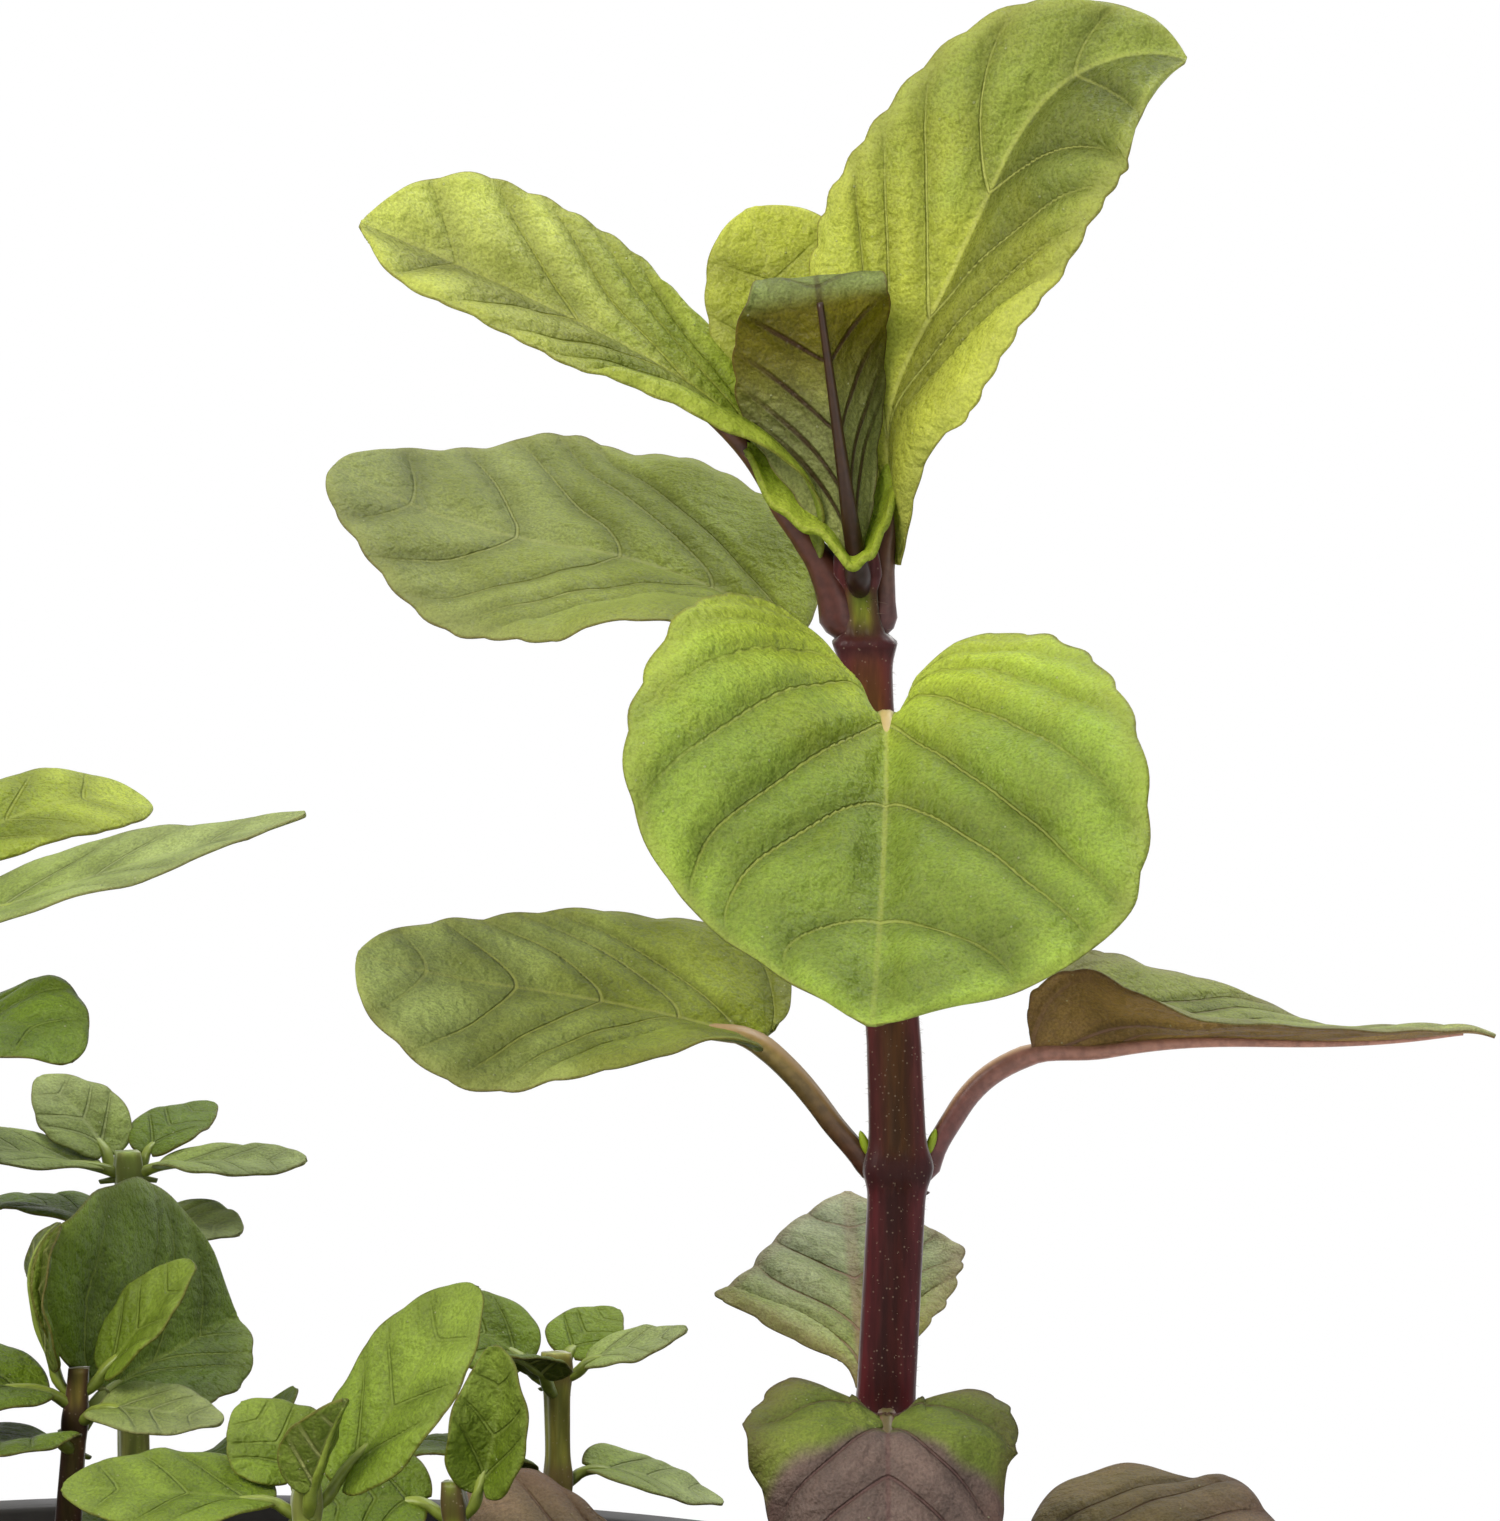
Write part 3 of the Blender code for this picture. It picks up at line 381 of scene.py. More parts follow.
SHOOTS = {
    "main_stem": (
        Leaf("top_front_leaf", 174.8, 1, 22, 14.3, -90, (75, 84, 86), lean=-8, veins=5, quilt=0.3, wave=0.2,
             rib=1.2, rib_end=0.78, arch=0.9),
        Leaf("top_back_leaf", 174.8, 1, 24, 10, 90, (85, 85, 85), lean=-16.5, veins=4, wave=0.3, rib=1,
             arch=0.9),
        Leaf("upper_right_leaf", 171.6, 3.5, 43.6, 23.5, 0, (92, 92, 92), stalk=1.3, veins=5, quilt=0.6,
             wave=0.35, rib=1.35, arch=1.3),
        Leaf("upper_left_leaf", 171.6, 3.5, 39.6, 21.5, 180, (84, 74, 68), stalk=1.3, veins=5, quilt=0.6,
             wave=0.3, rib=2.2, arch=1.3),
        Leaf("heart_leaf", 152.5, 16, 30, 35, -90, (64, 58, -25), shape=(0.15, 0.55, 0, 0), quilt=0.55,
             wave=0.3, rib=1, arch=3, bow=1.9),
        Leaf("back_left_leaf", 152.5, 19.5, 35, 27, (90, 165, 165), (66, 58, 29, 6, 28), -27,
             left=(35, -8, 0, 0), right=(8, -5, 0, 0), shape=(0.1, 0, 0.3, 0), skew=0.2, veins=5, quilt=0.3,
             rib=1, arch=1.3, bow=1.6),
        Leaf("middle_left_leaf", 134.7, 10.5, 27.3, 22, 180, (62, 46, 30), shape=(0.1, 0.1, 0.2, 0), veins=5,
             quilt=0.3, wave=0.3, rib=1.35, arch=1.3, bow=1.6),
        Leaf("middle_right_leaf", 134.7, 10, 31, 20, 0, (85, 30, 14), shape=(0.4, 0.1, 0.55, 0), veins=5,
             quilt=0.3, wave=0.25, rib=1.35, arch=1.3, bow=1.6),
        Leaf("lower_back_leaf", 116, 4, 22.5, 20, (105, 95, 90), (50, 40, 30), shape=(0.4, 0.05, 0.4, 0),
             lean=2, veins=4, wave=0.3, rib=1, arch=0.9),
        Leaf("lower_front_leaf", 117, 4, 24, 18, -90, (60, 20, -30), shape=(0.3, 0.55, 0.4, 0), veins=4,
             quilt=0.4, wave=0.5, rib=1, arch=0.9),
        Leaf("bottom_right_leaf", 105, 8, 19.5, 20, (0, -20, -20), (50, 25, 12, -5, -40), 20,
             left=(5, 5, -20, -20), shape=(0.3, 0.1, 0.4, 0), veins=4, wave=0.5, rib=1, arch=0.9),
        Leaf("bottom_left_leaf", 105, 7, 22, 15, (180, 170, 170), (15, 8, 5), shape=(0.3, 0.1, 0.4, 0),
             veins=4, wave=0.5, rib=1, arch=0.9),
    ),
    "left_tall_stem": (
        Leaf("left_shoot_long_leaf", 147, 7, 23, 9.5, -5, (50, 30, 20, 16, 18), 15, left=(8, 8, 0, 0),
             shape=(0.45, 0, 0.4, 0)),
        Leaf("left_shoot_far_leaf", 147, 8, 28, 18, 175, (50, 30, 20, 10, -10), (-15, -15, -10)),
        Leaf("left_shoot_yellow_leaf", 152, 4, 18, 8, 38, (40, 30, 28, 10, -10), (25, 25, 20),
             shape=(-0.3, 0, 0.1, 0)),
        Leaf("left_shoot_upper_far_leaf", 153, 6, 24, 15, 210, (55, 40, 30, 15, 0)),
        Leaf("left_shoot_dark_leaf", 139, 5, 14, 12, -40, (50, 35, 30, 10, -45), 20),
        Leaf("left_shoot_back_leaf", 139, 7, 26, 18, 110, (50, 30, 20, 0, -20)),
        Leaf("left_shoot_top_leaf_1", 162, 1, 15, 9, 120, (60, 60, 60, 50, 30), left=(25, 15, 0, 0)),
        Leaf("left_shoot_top_leaf_2", 162, 1, 15, 9, -60, (65, 65, 65, 55, 40), left=(25, 15, 0, 0)),
    ),
    "back_rosette_stem": (
        Leaf("rosette_left_leaf", 128.4, 1.5, 14, 7, 190, (22, 14, 13, 13, 10), (-3, -15, -15)),
        Leaf("rosette_right_leaf", 128.4, 2, 9.5, 6.5, -12, (25, 14, 5, 0, 5), (0, 12, 15)),
        Leaf("rosette_upper_left_leaf", 128.9, 0.8, 8, 5.5, (140, 140, 138), (75, 65, 50, 32, 25),
             (-10, -30, -20)),
        Leaf("rosette_upper_right_leaf", 129, 0.8, 8, 4.5, (50, 58, 58), (75, 55, 32, 12, 10), 10, stalk=1),
        Leaf("rosette_low_right_leaf", 123, 2, 7, 7, (-60, -30, -20), (60, 40, 20, 0, -15), (15, 15, 10)),
        Leaf("rosette_low_left_leaf", 123, 2, 10, 8, (140, 165, 165), (60, 40, 20, 0, -15)),
    ),
    "young_round_stem": (
        Leaf("round_leaf", 117.5, 2, 15.5, 24, 58, (60, 34, 16), shape=(0.3, 0.15, 0.1, 0), quilt=0.35,
             arch=2.6, bow=1.1),
        Leaf("young_small_right_leaf", 120.4, 0.8, 9.2, 6, (-10, -5, 0), (60, 55, 52, 52, 45), (35, 30, 25),
             left=(20, 10, 0, 0), shape=(-0.1, 0, 0.3, 0)),
        Leaf("young_small_left_leaf", 120.6, 0.8, 10, 8, (170, 185, 200), (85, 82, 80, 85, 150), lean=-5),
        Leaf("young_left_leaf", 119, 2, 14, 12, (205, 195, 190), (40, 20, 10, 10, 15), (-10, -25, -20)),
        Leaf("young_low_right_leaf", 118, 2, 8, 6.5, (-45, -30, -15), (45, 15, 0, -5, -5), 15),
        Leaf("young_low_left_leaf", 116, 2, 12, 9, (240, 230, 225), (40, 15, 5, 0, -10)),
        Leaf("young_bottom_leaf", 108, 3, 17, 9, (60, 40, 20), (40, 20, 10, 30, 55)),
    ),
    "bright_front_stem": (
        Leaf("bright_tall_leaf", 117.8, 1.5, 14.5, 9, (0, 5, 5), (60, 58, 54, 57, 50), 35,
             left=(10, 5, 0, 0), shape=(0, 0, 0.3, 0)),
        Leaf("bright_left_leaf", 116.8, 1.5, 12.5, 9, 180, (40, 15, 5, 3, 0), (-8, -25, -25)),
        Leaf("bright_round_leaf", 118, 1, 6, 6, (115, 132, 145), (60, 58, 50, 35, 30), -30),
        Leaf("bright_folded_leaf", 117.8, 0.8, 7, 5, (-80, -60, -40), (75, 70, 65, 60, 55),
             left=(50, 40, 0, 0)),
        Leaf("bright_low_leaf", 108, 2, 12, 8, (-90, -70, -50), (50, 30, 15, 0, -20)),
    ),
    "small_back_stem": (
        Leaf("small_back_left_leaf", 114.8, 1, 8.5, 7, 170, (60, 50, 40, 15, -5), (-30, -30, -25)),
        Leaf("small_back_right_leaf", 115, 1, 7, 5, -10, (50, 35, 22, 15, 25), 15),
        Leaf("small_back_centre_leaf", 115.2, 0.8, 5.2, 4.5, (70, 50, 40), (50, 45, 35, 25, 20), 20),
        Leaf("small_back_front_leaf", 114.2, 0.8, 6, 5, (250, 240, 230), (60, 50, 40, 20, 0)),
        Leaf("small_back_low_right_leaf", 107, 2, 9, 6, (20, 15, 10), (40, 10, -15, -20, -22), (15, 15, 10)),
        Leaf("small_back_low_left_leaf", 107, 2, 11, 7, (200, 195, 190), (60, 40, 20, 0, -15)),
    ),
    "curled_dark_stem": (
        Leaf("curled_leaf", 113, 1, 9.5, 7, (-20, 0, 0), (80, 75, 75, 80, 110), 60, left=(40, 30, 40, 40),
             right=(20, 20, 20, 20)),
        Leaf("curled_left_leaf", 112, 1.5, 7, 7, (170, 180, 190), (40, 25, 5, -10, -20), -45),
        Leaf("curled_low_right_leaf", 106, 2, 9, 8, (-30, -45, -60), (60, 45, 30, 0, -30)),
        Leaf("curled_low_left_leaf", 106, 2, 11, 8, (210, 200, 190), (60, 40, 20, 0, -20)),
    ),
}
for stem_name, shoot in SHOOTS.items():
    for leaf in shoot:
        leaf.stem = stem_name
LEAVES = [leaf for shoot in SHOOTS.values() for leaf in shoot]
print("leaves:", len(LEAVES))

# %% [markdown]
# ## Stems
#
# A mint stem is square because it has four ridges of stiff tissue. In section it is a superellipse, which is
# a circle whose power is five and not two. It swells where a leaf pair leaves it, and each flat side has a
# shallow channel. Carrying that section along the stem's path, in steps of about a third of a millimetre,
# gives the whole surface as one array.

# %% Stem surfaces
STEM_SIDES = 48
STEM_STEP = 0.35
CHANNEL_DEPTH = 0.07
CHANNEL_WIDTH = 0.32


def around(count):
    """The angles of evenly spaced places round a circle."""
    return np.linspace(0, 2 * math.pi, count, endpoint=False)


def tube_faces(rows, columns, first=0):
    """The quads of a closed tube of rings, and a fan of triangles at each end."""
    here = np.arange(columns)
    right = (here + 1) % columns
    starts = (first + columns * np.arange(rows - 1))[:, None, None]
    quads = (starts + np.stack([here, right, right + columns, here + columns], -1)).reshape(-1, 4)
    last, foot = first + (rows - 1) * columns, first + rows * columns
    low = np.stack([np.full(columns, foot), first + right, first + here], -1)
    high = np.stack([np.full(columns, foot + 1), last + here, last + right], -1)
    return quads.tolist() + low.tolist() + high.tolist()


def with_caps(rings):
    """The points of a stack of rings, and the middle of its first and last one."""
    return np.vstack([rings.reshape(-1, 3), rings[0].mean(axis=0), rings[-1].mean(axis=0)])


def add_piece(name, points, faces, materials, nodes=(), values=(), picks=None, uv=None):
    """A smooth mesh of points in millimetres, which rides on the plant and may stand for CAD nodes."""
    mesh = bpy.data.meshes.new(name)
    mesh.from_pydata((np.asarray(points) * MM).tolist(), [], faces)
    for key, numbers in dict(values).items():
        mark = mesh.attributes.new(key, "FLOAT", "POINT")
        mark.data.foreach_set("value", np.ravel(numbers).astype(np.float32))
    if uv is not None:
        corners = np.empty(len(mesh.loops), dtype=np.int32)
        mesh.loops.foreach_get("vertex_index", corners)
        layer = mesh.uv_layers.new(name="surface")
        layer.data.foreach_set("uv", uv[corners].astype(np.float32).ravel())
    for finish in materials:
        mesh.materials.append(finish)
    if picks is not None:
        mesh.polygons.foreach_set("material_index", np.asarray(picks, dtype=np.int32))
    mesh.shade_smooth()
    mesh.update()
    piece = link(name, mesh)
    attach(piece, "root")
    if nodes:
        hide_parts(*nodes)
    return piece


def stem_rings(stem):
    """The stem's surface, and how much each of its points lies on a node ring and on a ridge."""
    lowest, highest = stem.path[0][2], stem.path[-1][2]
    heights = np.linspace(lowest, highest, max(8, int((highest - lowest) / STEM_STEP)))[:, None]
    angle = around(STEM_SIDES)[None, :]
    x, y, _ = stem.station(heights)
    swelling = stem.swelling(heights)
    flat = np.abs((angle / (math.pi / 2) + 0.5) % 1 - 0.5) * math.pi / 2
    channel = CHANNEL_DEPTH * bell(flat, CHANNEL_WIDTH) * (1 - np.clip(swelling, 0, 1))
    reach = stem.radius(heights) * (rounded_square(angle) - channel)
    bearing = angle + math.radians(stem.turn)
    rings = np.stack([x + reach * np.cos(bearing), y + reach * np.sin(bearing), heights + 0 * angle], -1)
    return rings, {"node_ring": swelling + 0 * angle, "ridge": flat / (math.pi / 4) + 0 * heights}


# %% [markdown]
# ### Stem skin
#
# The skin of a mint stem is a waxy epidermis over purple-red tissue, smooth to the touch along the stem and
# crossed by fine pale specks. Its colour changes from one internode to the next, and it is green where it
# is young, so it is read from a ramp over the height. The node rings are darker, which the mesh marks with
# its swelling.


# %% Stem skin
STEM_SPECK = 0.42
WAX_IOR = 1.42


def stem_skin(name, stops, ring_colour, ridge_colour):
    """Epidermis: colour stops over the height in millimetres, darker node rings, specks and a soft gloss."""
    material, nodes = new_material(name)
    place = nodes.place()
    low, high = stops[0][0], stops[-1][0]
    height = nodes.add("SeparateXYZ", {0: place}, "Z")
    share = nodes.add("MapRange", {"Value": height, "From Min": low * MM, "From Max": high * MM})
    colours = nodes.add("ValToRGB", {"Fac": share})
    elements = colours.node.color_ramp.elements
    for k, (level, colour) in enumerate(stops):
        element = elements[k] if k < 2 else elements.new(1.0)
        element.position = (level - low) / (high - low)
        element.color = to_linear(colour)
    streaks = nodes.noise(nodes.stretched(place, 0.12), 0.5, 3.0)
    shade = nodes.ramp(streaks, 0.35, 0.7, 0.75, 1.3)
    skin = nodes.blend(nodes.ramp(nodes.mark("ridge"), 0.25, 0.95, 0.0, 0.75), colours, ridge_colour)
    skin = nodes.scaled(skin, shade)
    skin = nodes.blend(nodes.ramp(nodes.mark("node_ring"), 0.1, 0.9, 0.0, 0.75), skin, ring_colour)
    speck = nodes.add("TexVoronoi", {"Vector": place, "Scale": 1 / (STEM_SPECK * MM)}, "Distance")
    dots = nodes.ramp(speck, 0.08, 0.2, 0.16, 0.0)
    skin = nodes.blend(dots, skin, "c9b49a")
    bump = nodes.bump(nodes.plus(shade, nodes.times(dots, 1.2)), 0.6, 0.06)
    gloss = nodes.ramp(shade, 0.75, 1.3, 0.5, 0.36)
    shine = {"Specular_IOR_Level": 0.16, "Sheen_Weight": 0.5, "Sheen_Roughness": 0.35}
    nodes.finish(nodes.skin(skin, gloss, Normal=bump, IOR=WAX_IOR, **shine))
    return material

# %% [markdown]
# ## Leaf surfaces
#
# A leaf is a blade on a bent line. The line is the midrib, a chain of arcs from the stem through the stalk
# to the tip, and it carries three directions: forward, leftward and upward. The blade is a grid over it, with
# one parameter from base to tip and one from margin to margin. Its outline is half a turn of a sine, its
# halves fold up from the midrib, and its margins may curl.


# %% Forms of the leaves near the eye
@dataclass
class Form:
    """A leaf as it grew: slope, bearing and roll along the blade, the margin of each half, folds and curls.

    left and right are the margin's stations (length, width) in millimetres, evenly spaced over the half turn
    from base to tip. The others are (share of the length, angle) stations, or one angle all along, and fold
    and curl have two of them, for the left and the right half.
    """

    rise: tuple
    azimuth: object
    left: tuple
    right: tuple
    fold: tuple
    roll: object = 0
    curl: tuple = (0, 0)


FORMS = {
    "upper_right_leaf": Form(
        rise=((0, 92), (0.1, 95), (0.19, 89), (0.26, 73), (0.36, 62), (0.5, 65), (0.62, 65), (0.74, 52),
              (0.83, 30), (0.93, 4), (1, -22)),
        azimuth=0, roll=((0, 50), (0.4, 64), (0.7, 62), (1, 45)),
        left=((0, 1.2), (1.5, 2.2), (6, 4), (13, 8), (21, 10), (29, 8.8), (35.5, 6.6), (40.4, 3.6),
              (43.6, 0.3)),
        right=((0, 0.9), (1.5, 2), (6, 4.6), (13, 8.8), (20, 9.6), (28, 10.6), (35.5, 9.8), (40.8, 5.2),
               (43.6, 0.3)),
        fold=(((0, 4), (0.5, 12), (1, 6)), ((0, 34), (0.5, 34), (0.8, 26), (1, 10))),
        curl=(0, ((0, 0), (0.5, -16), (1, -12))),
    ),
    "upper_left_leaf": Form(
        rise=((0, 82), (0.08, 74), (0.17, 58), (0.28, 43.5), (0.5, 28), (1, 22)), azimuth=180,
        roll=((0, -10), (0.5, -24), (1, -34)),
        left=((0, 0.9), (1.2, 2.4), (5.5, 4.6), (12, 5.4), (19.5, 6.4), (26, 7.6), (32.5, 6.8), (37, 4.4),
              (39.6, 0.3)),
        right=((0, 1), (1.5, 1.4), (5.5, 2.4), (12, 4.8), (19.5, 7.4), (26.5, 9.2), (33, 8.2), (37.8, 4.2),
               (39.6, 0.3)),
        fold=(((0, 50), (0.12, 38), (0.3, 14), (0.5, 6), (1, 14)), ((0, 0), (0.5, 14), (1, 22))),
    ),
    "top_front_leaf": Form(
        rise=((0, 85), (0.76, 89), (0.83, 125), (0.9, 200), (1, 290)), azimuth=-90,
        left=((0, 0.8), (0.9, 1.2), (3.2, 2.6), (6.8, 4.4), (11, 5.3), (15.2, 5), (18.6, 4.6), (21, 3),
              (22, 0.3)),
        right=((0, 0.8), (0.9, 1.2), (3.2, 3), (6.8, 5), (11, 6.6), (14.6, 6.3), (18, 4.8), (20.8, 2.8),
               (22, 0.3)),
        fold=(((0, 45), (0.3, 54), (0.6, 40), (0.74, 20), (0.84, 4), (1, 4)), ((0, 20), (0.6, 12),
              (0.74, 6), (0.84, -6), (1, -6))),
    ),
    "top_back_leaf": Form(
        rise=((0, 86), (0.5, 87), (1, 74)), azimuth=90,
        left=((0, 0.7), (1, 1.2), (3.5, 2), (7.5, 3.5), (12, 4.8), (16.8, 5), (20.5, 4.2), (23, 2.4),
              (24, 0.4)),
        right=((0, 0.7), (1, 1.2), (3.5, 2.2), (7.5, 4), (12, 5.2), (16.2, 6), (20.2, 5.6), (23, 3.2),
               (24, 0.4)),
        fold=(((0, 10), (1, 0)), ((0, 10), (1, 0))),
    ),
    "heart_leaf": Form(
        rise=((0, -25), (0.5, -38), (1, -42)), azimuth=((0, -90), (0.5, -93), (1, -96)),
        left=((0, 0.9), (-3.4, 3.2), (-6, 6.8), (-3.4, 11), (3.6, 15.4), (12, 17.6), (20, 16.6), (27, 9.5),
              (30, 0.4)),
        right=((0, 0.9), (-4.4, 4.2), (-7.4, 8.2), (-5, 12.4), (2.5, 16.4), (10.5, 17.8), (18.5, 14.2),
               (26, 6.8), (30, 0.4)),
        fold=(((0, 24), (0.3, 19), (0.6, 8), (1, 3)), ((0, 31), (0.3, 23), (0.6, 8), (1, 3))),
        curl=(((0, -6), (0.5, 0), (1, -12)), ((0, -6), (0.5, 0), (1, -12))),
    ),
    "middle_left_leaf": Form(
        rise=((0, 20), (0.25, 12), (0.6, 8), (1, 17)), azimuth=180, roll=((0, -24), (1, -26)),
        left=((0, 0.8), (-0.6, 3), (0.5, 6), (5, 8.4), (11.5, 10), (18, 10.5), (23.5, 7.5), (26.6, 3.5),
              (27.3, 0.4)),
        right=((0, 0.8), (-1.4, 4), (-0.4, 8.2), (3, 11), (9, 10.4), (16.5, 8.2), (22.5, 5.8), (26.2, 3),
               (27.3, 0.4)),
        fold=(((0, 35), (0.3, 6), (0.6, -8), (1, -12)), ((0, 10), (0.5, 6), (1, 4))),
    ),
    "middle_right_leaf": Form(
        rise=((0, 14), (0.2, 6), (0.5, -3), (0.75, 2), (0.9, 6), (1, -22)), azimuth=0,
        left=((0, 0.8), (0.4, 3), (2, 6), (5.6, 8.8), (11.6, 9.6), (18.5, 8), (25, 5), (29.4, 2.2),
              (31, 0.4)),
        right=((0, 0.8), (0, 2.8), (0.6, 5.2), (4, 7.6), (11, 9), (18.5, 8), (25, 5), (29.4, 2.2),
               (31, 0.4)),
        fold=(((0, 56), (0.12, 46), (0.3, 24), (0.5, 8), (0.7, -4), (1, 0)), ((0, 70), (0.1, 60),
              (0.22, 30), (0.36, 12), (0.6, 14), (0.85, 16), (1, 4))),
    ),
    "lower_back_leaf": Form(
        rise=((0, 36), (0.4, 28), (1, 20)), azimuth=((0, 96), (1, 92)),
        left=((0, 0.7), (1.5, 1), (3.5, 3.4), (5.5, 7), (8, 10), (11.5, 7.6), (15.5, 5.6), (20, 2.4),
              (22.5, 0.3)),
        right=((0, 0.7), (1.5, 1.4), (4, 4), (7, 5.8), (10.5, 7.2), (13.5, 7.8), (17, 5), (20.6, 2),
               (22.5, 0.3)),
        fold=(((0, 6), (1, 2)), ((0, 12), (1, 6))),
    ),
    "lower_front_leaf": Form(
        rise=((0, 8), (0.1, -10), (0.2, -58), (1, -80)), azimuth=-90,
        left=((0, 0.8), (-2, 3.2), (-2.8, 6), (-1, 8.2), (3, 9), (9, 8.4), (15, 7), (21, 4), (24, 0.3)),
        right=((0, 0.8), (-2, 3.2), (-3.4, 6.2), (-1.6, 8.6), (2, 9.6), (8, 8.8), (15, 7.2), (21, 4),
               (24, 0.3)),
        fold=(((0, 12), (0.08, 10), (0.2, 4), (1, -10)), ((0, 18), (0.08, 14), (0.2, 6), (1, -10))),
        curl=(((0, -30), (0.12, -30), (0.3, -50), (1, -60)), ((0, -24), (0.12, -30), (0.3, -50), (1, -60))),
    ),
    "round_leaf": Form(
        rise=((0, 16), (0.5, 10), (1, 10)), azimuth=58, roll=((0, 75), (1, 70)),
        left=((0, 0.8), (-3.5, 4), (-5, 8.6), (-2.4, 12.2), (3, 13), (8.8, 12.2), (13.4, 9.4), (15.4, 5),
              (15.5, 0.4)),
        right=((0, 0.8), (-1, 2), (0, 4), (3, 5.6), (7, 6), (11, 5), (14, 3), (15.3, 1.4), (15.5, 0.4)),
        fold=(((0, 12), (1, 4)), ((0, 55), (1, 45))),
    ),
    "bottom_left_leaf": Form(
        rise=((0, 4), (0.5, 12), (0.75, -10), (1, -60)), azimuth=((0, 172), (1, 170)), roll=-30,
        left=((0, 0.8), (1, 2), (4, 4), (8, 5), (12, 6.5), (16, 7.5), (19, 6), (21.4, 3), (22, 0.3)),
        right=((0, 0.8), (1, 1), (4, 1.5), (8, 2.4), (12, 5), (16, 7.4), (19, 7), (21.4, 3.5), (22, 0.3)),
        fold=(((0, 5), (1, -5)), ((0, 5), (1, 0))),
    ),
}
print("forms:", ", ".join(FORMS))

# %% Midrib and outline
MIDRIB_POINTS = 481
PETIOLE_BEND = 1.5
TIP_WIDTH = 0.6
WINGED_STALK = 0.8


def smooth_curve(stations, value):
    """A cubic between each two (place, value) stations, which never swings past them. One number is level.

    Its slope at a station is the harmonic mean of the slopes on both sides, and level at a peak.
    """
    if np.ndim(stations) == 0:
        return np.full_like(value, stations)
    places, values = np.array(stations, dtype=float).T
    chords = np.diff(values) / np.diff(places)
    before, after = chords[:-1], chords[1:]
    together = np.where(before * after > 0, before + after, 1)
    between = np.where(before * after > 0, 2 * before * after / together, 0)
    slopes = np.concatenate([chords[:1], between, chords[-1:]])
    k = np.clip(np.searchsorted(places, value) - 1, 0, len(places) - 2)
    step = places[k + 1] - places[k]
    u = np.clip((value - places[k]) / step, 0, 1)
    rest = 1 - u
    ends = values[k] * (1 + 2 * u) * rest**2 + values[k + 1] * (1 + 2 * rest) * u**2
    return ends + step * u * rest * (slopes[k] * rest - slopes[k + 1] * u)


def curve_through(points, share):
    """A smooth curve through evenly spaced points, as the share of the way goes from 0 to 1."""
    places = np.linspace(0, 1, len(points))
    return [smooth_curve(list(zip(places, column)), share) for column in zip(*points)]


def turned(first, second, degrees):
    """Two square directions turned by an angle, the first one towards the second."""
    cosine, sine = np.cos(np.radians(degrees)), np.sin(np.radians(degrees))
    return cosine * first + sine * second, cosine * second - sine * first


def midrib(leaf, stem):
    """The midrib's places, points and three directions.

    The slope and bearing go evenly from station to station, and the points are the sum of short steps.
    """
    bend = min(PETIOLE_BEND, leaf.petiole / 2)
    along = np.linspace(-leaf.petiole, leaf.length, MIDRIB_POINTS)
    stations = (-leaf.petiole, -bend, bend, leaf.length / 2, leaf.length)
    rise = np.interp(along, stations[: len(leaf.rise)], leaf.rise)
    azimuth = np.interp(along, (-leaf.petiole, 0, leaf.length), np.broadcast_to(leaf.azimuth, 3))
    roll = np.interp(along, (0, leaf.length / 2, leaf.length), np.broadcast_to(leaf.roll, 3))
    form = FORMS.get(leaf.name)
    if form:
        blade = np.clip(along / leaf.length, 0, 1)
        rise = np.where(along > bend, smooth_curve(form.rise, blade), rise)
        azimuth = np.where(along > 0, smooth_curve(form.azimuth, blade), azimuth)
        roll = smooth_curve(form.roll, blade)
    roll = roll * np.clip(1 + along / leaf.petiole, 0, 1)
    ahead, aside = np.radians(azimuth), np.radians(azimuth + 90)
    level = np.stack([np.cos(ahead), np.sin(ahead), 0 * ahead], -1)
    leftward = np.stack([np.cos(aside), np.sin(aside), 0 * aside], -1)
    forward, _ = turned(level, np.array([0, 0, 1.0]), rise[:, None])
    leftward, upward = turned(leftward, np.cross(forward, leftward), roll[:, None])
    first, third = turned(np.array([1.0, 0, 0]), np.array([0, 0, 1.0]), -leaf.lean)
    tip_over = np.array([first, [0, 1, 0], third])
    forward, leftward, upward = forward @ tip_over, leftward @ tip_over, upward @ tip_over
    outside = stem.reach(leaf.height, azimuth[0]) + CLEARANCE
    outside += leaf.stalk / 2 * math.sin(math.radians(rise[0]))
    start = stem.axis(leaf.height) + outside * level[0]
    steps = (forward[1:] + forward[:-1]) / 2 * np.diff(along)[:, None]
    points = start + np.vstack([np.zeros(3), np.cumsum(steps, axis=0)])
    return along, points, forward, leftward, upward


def carried(line, places):
    """A midrib's points and directions at some places along it."""
    along, *columns = line
    return [np.stack([np.interp(places, along, values) for values in column.T], -1) for column in columns]


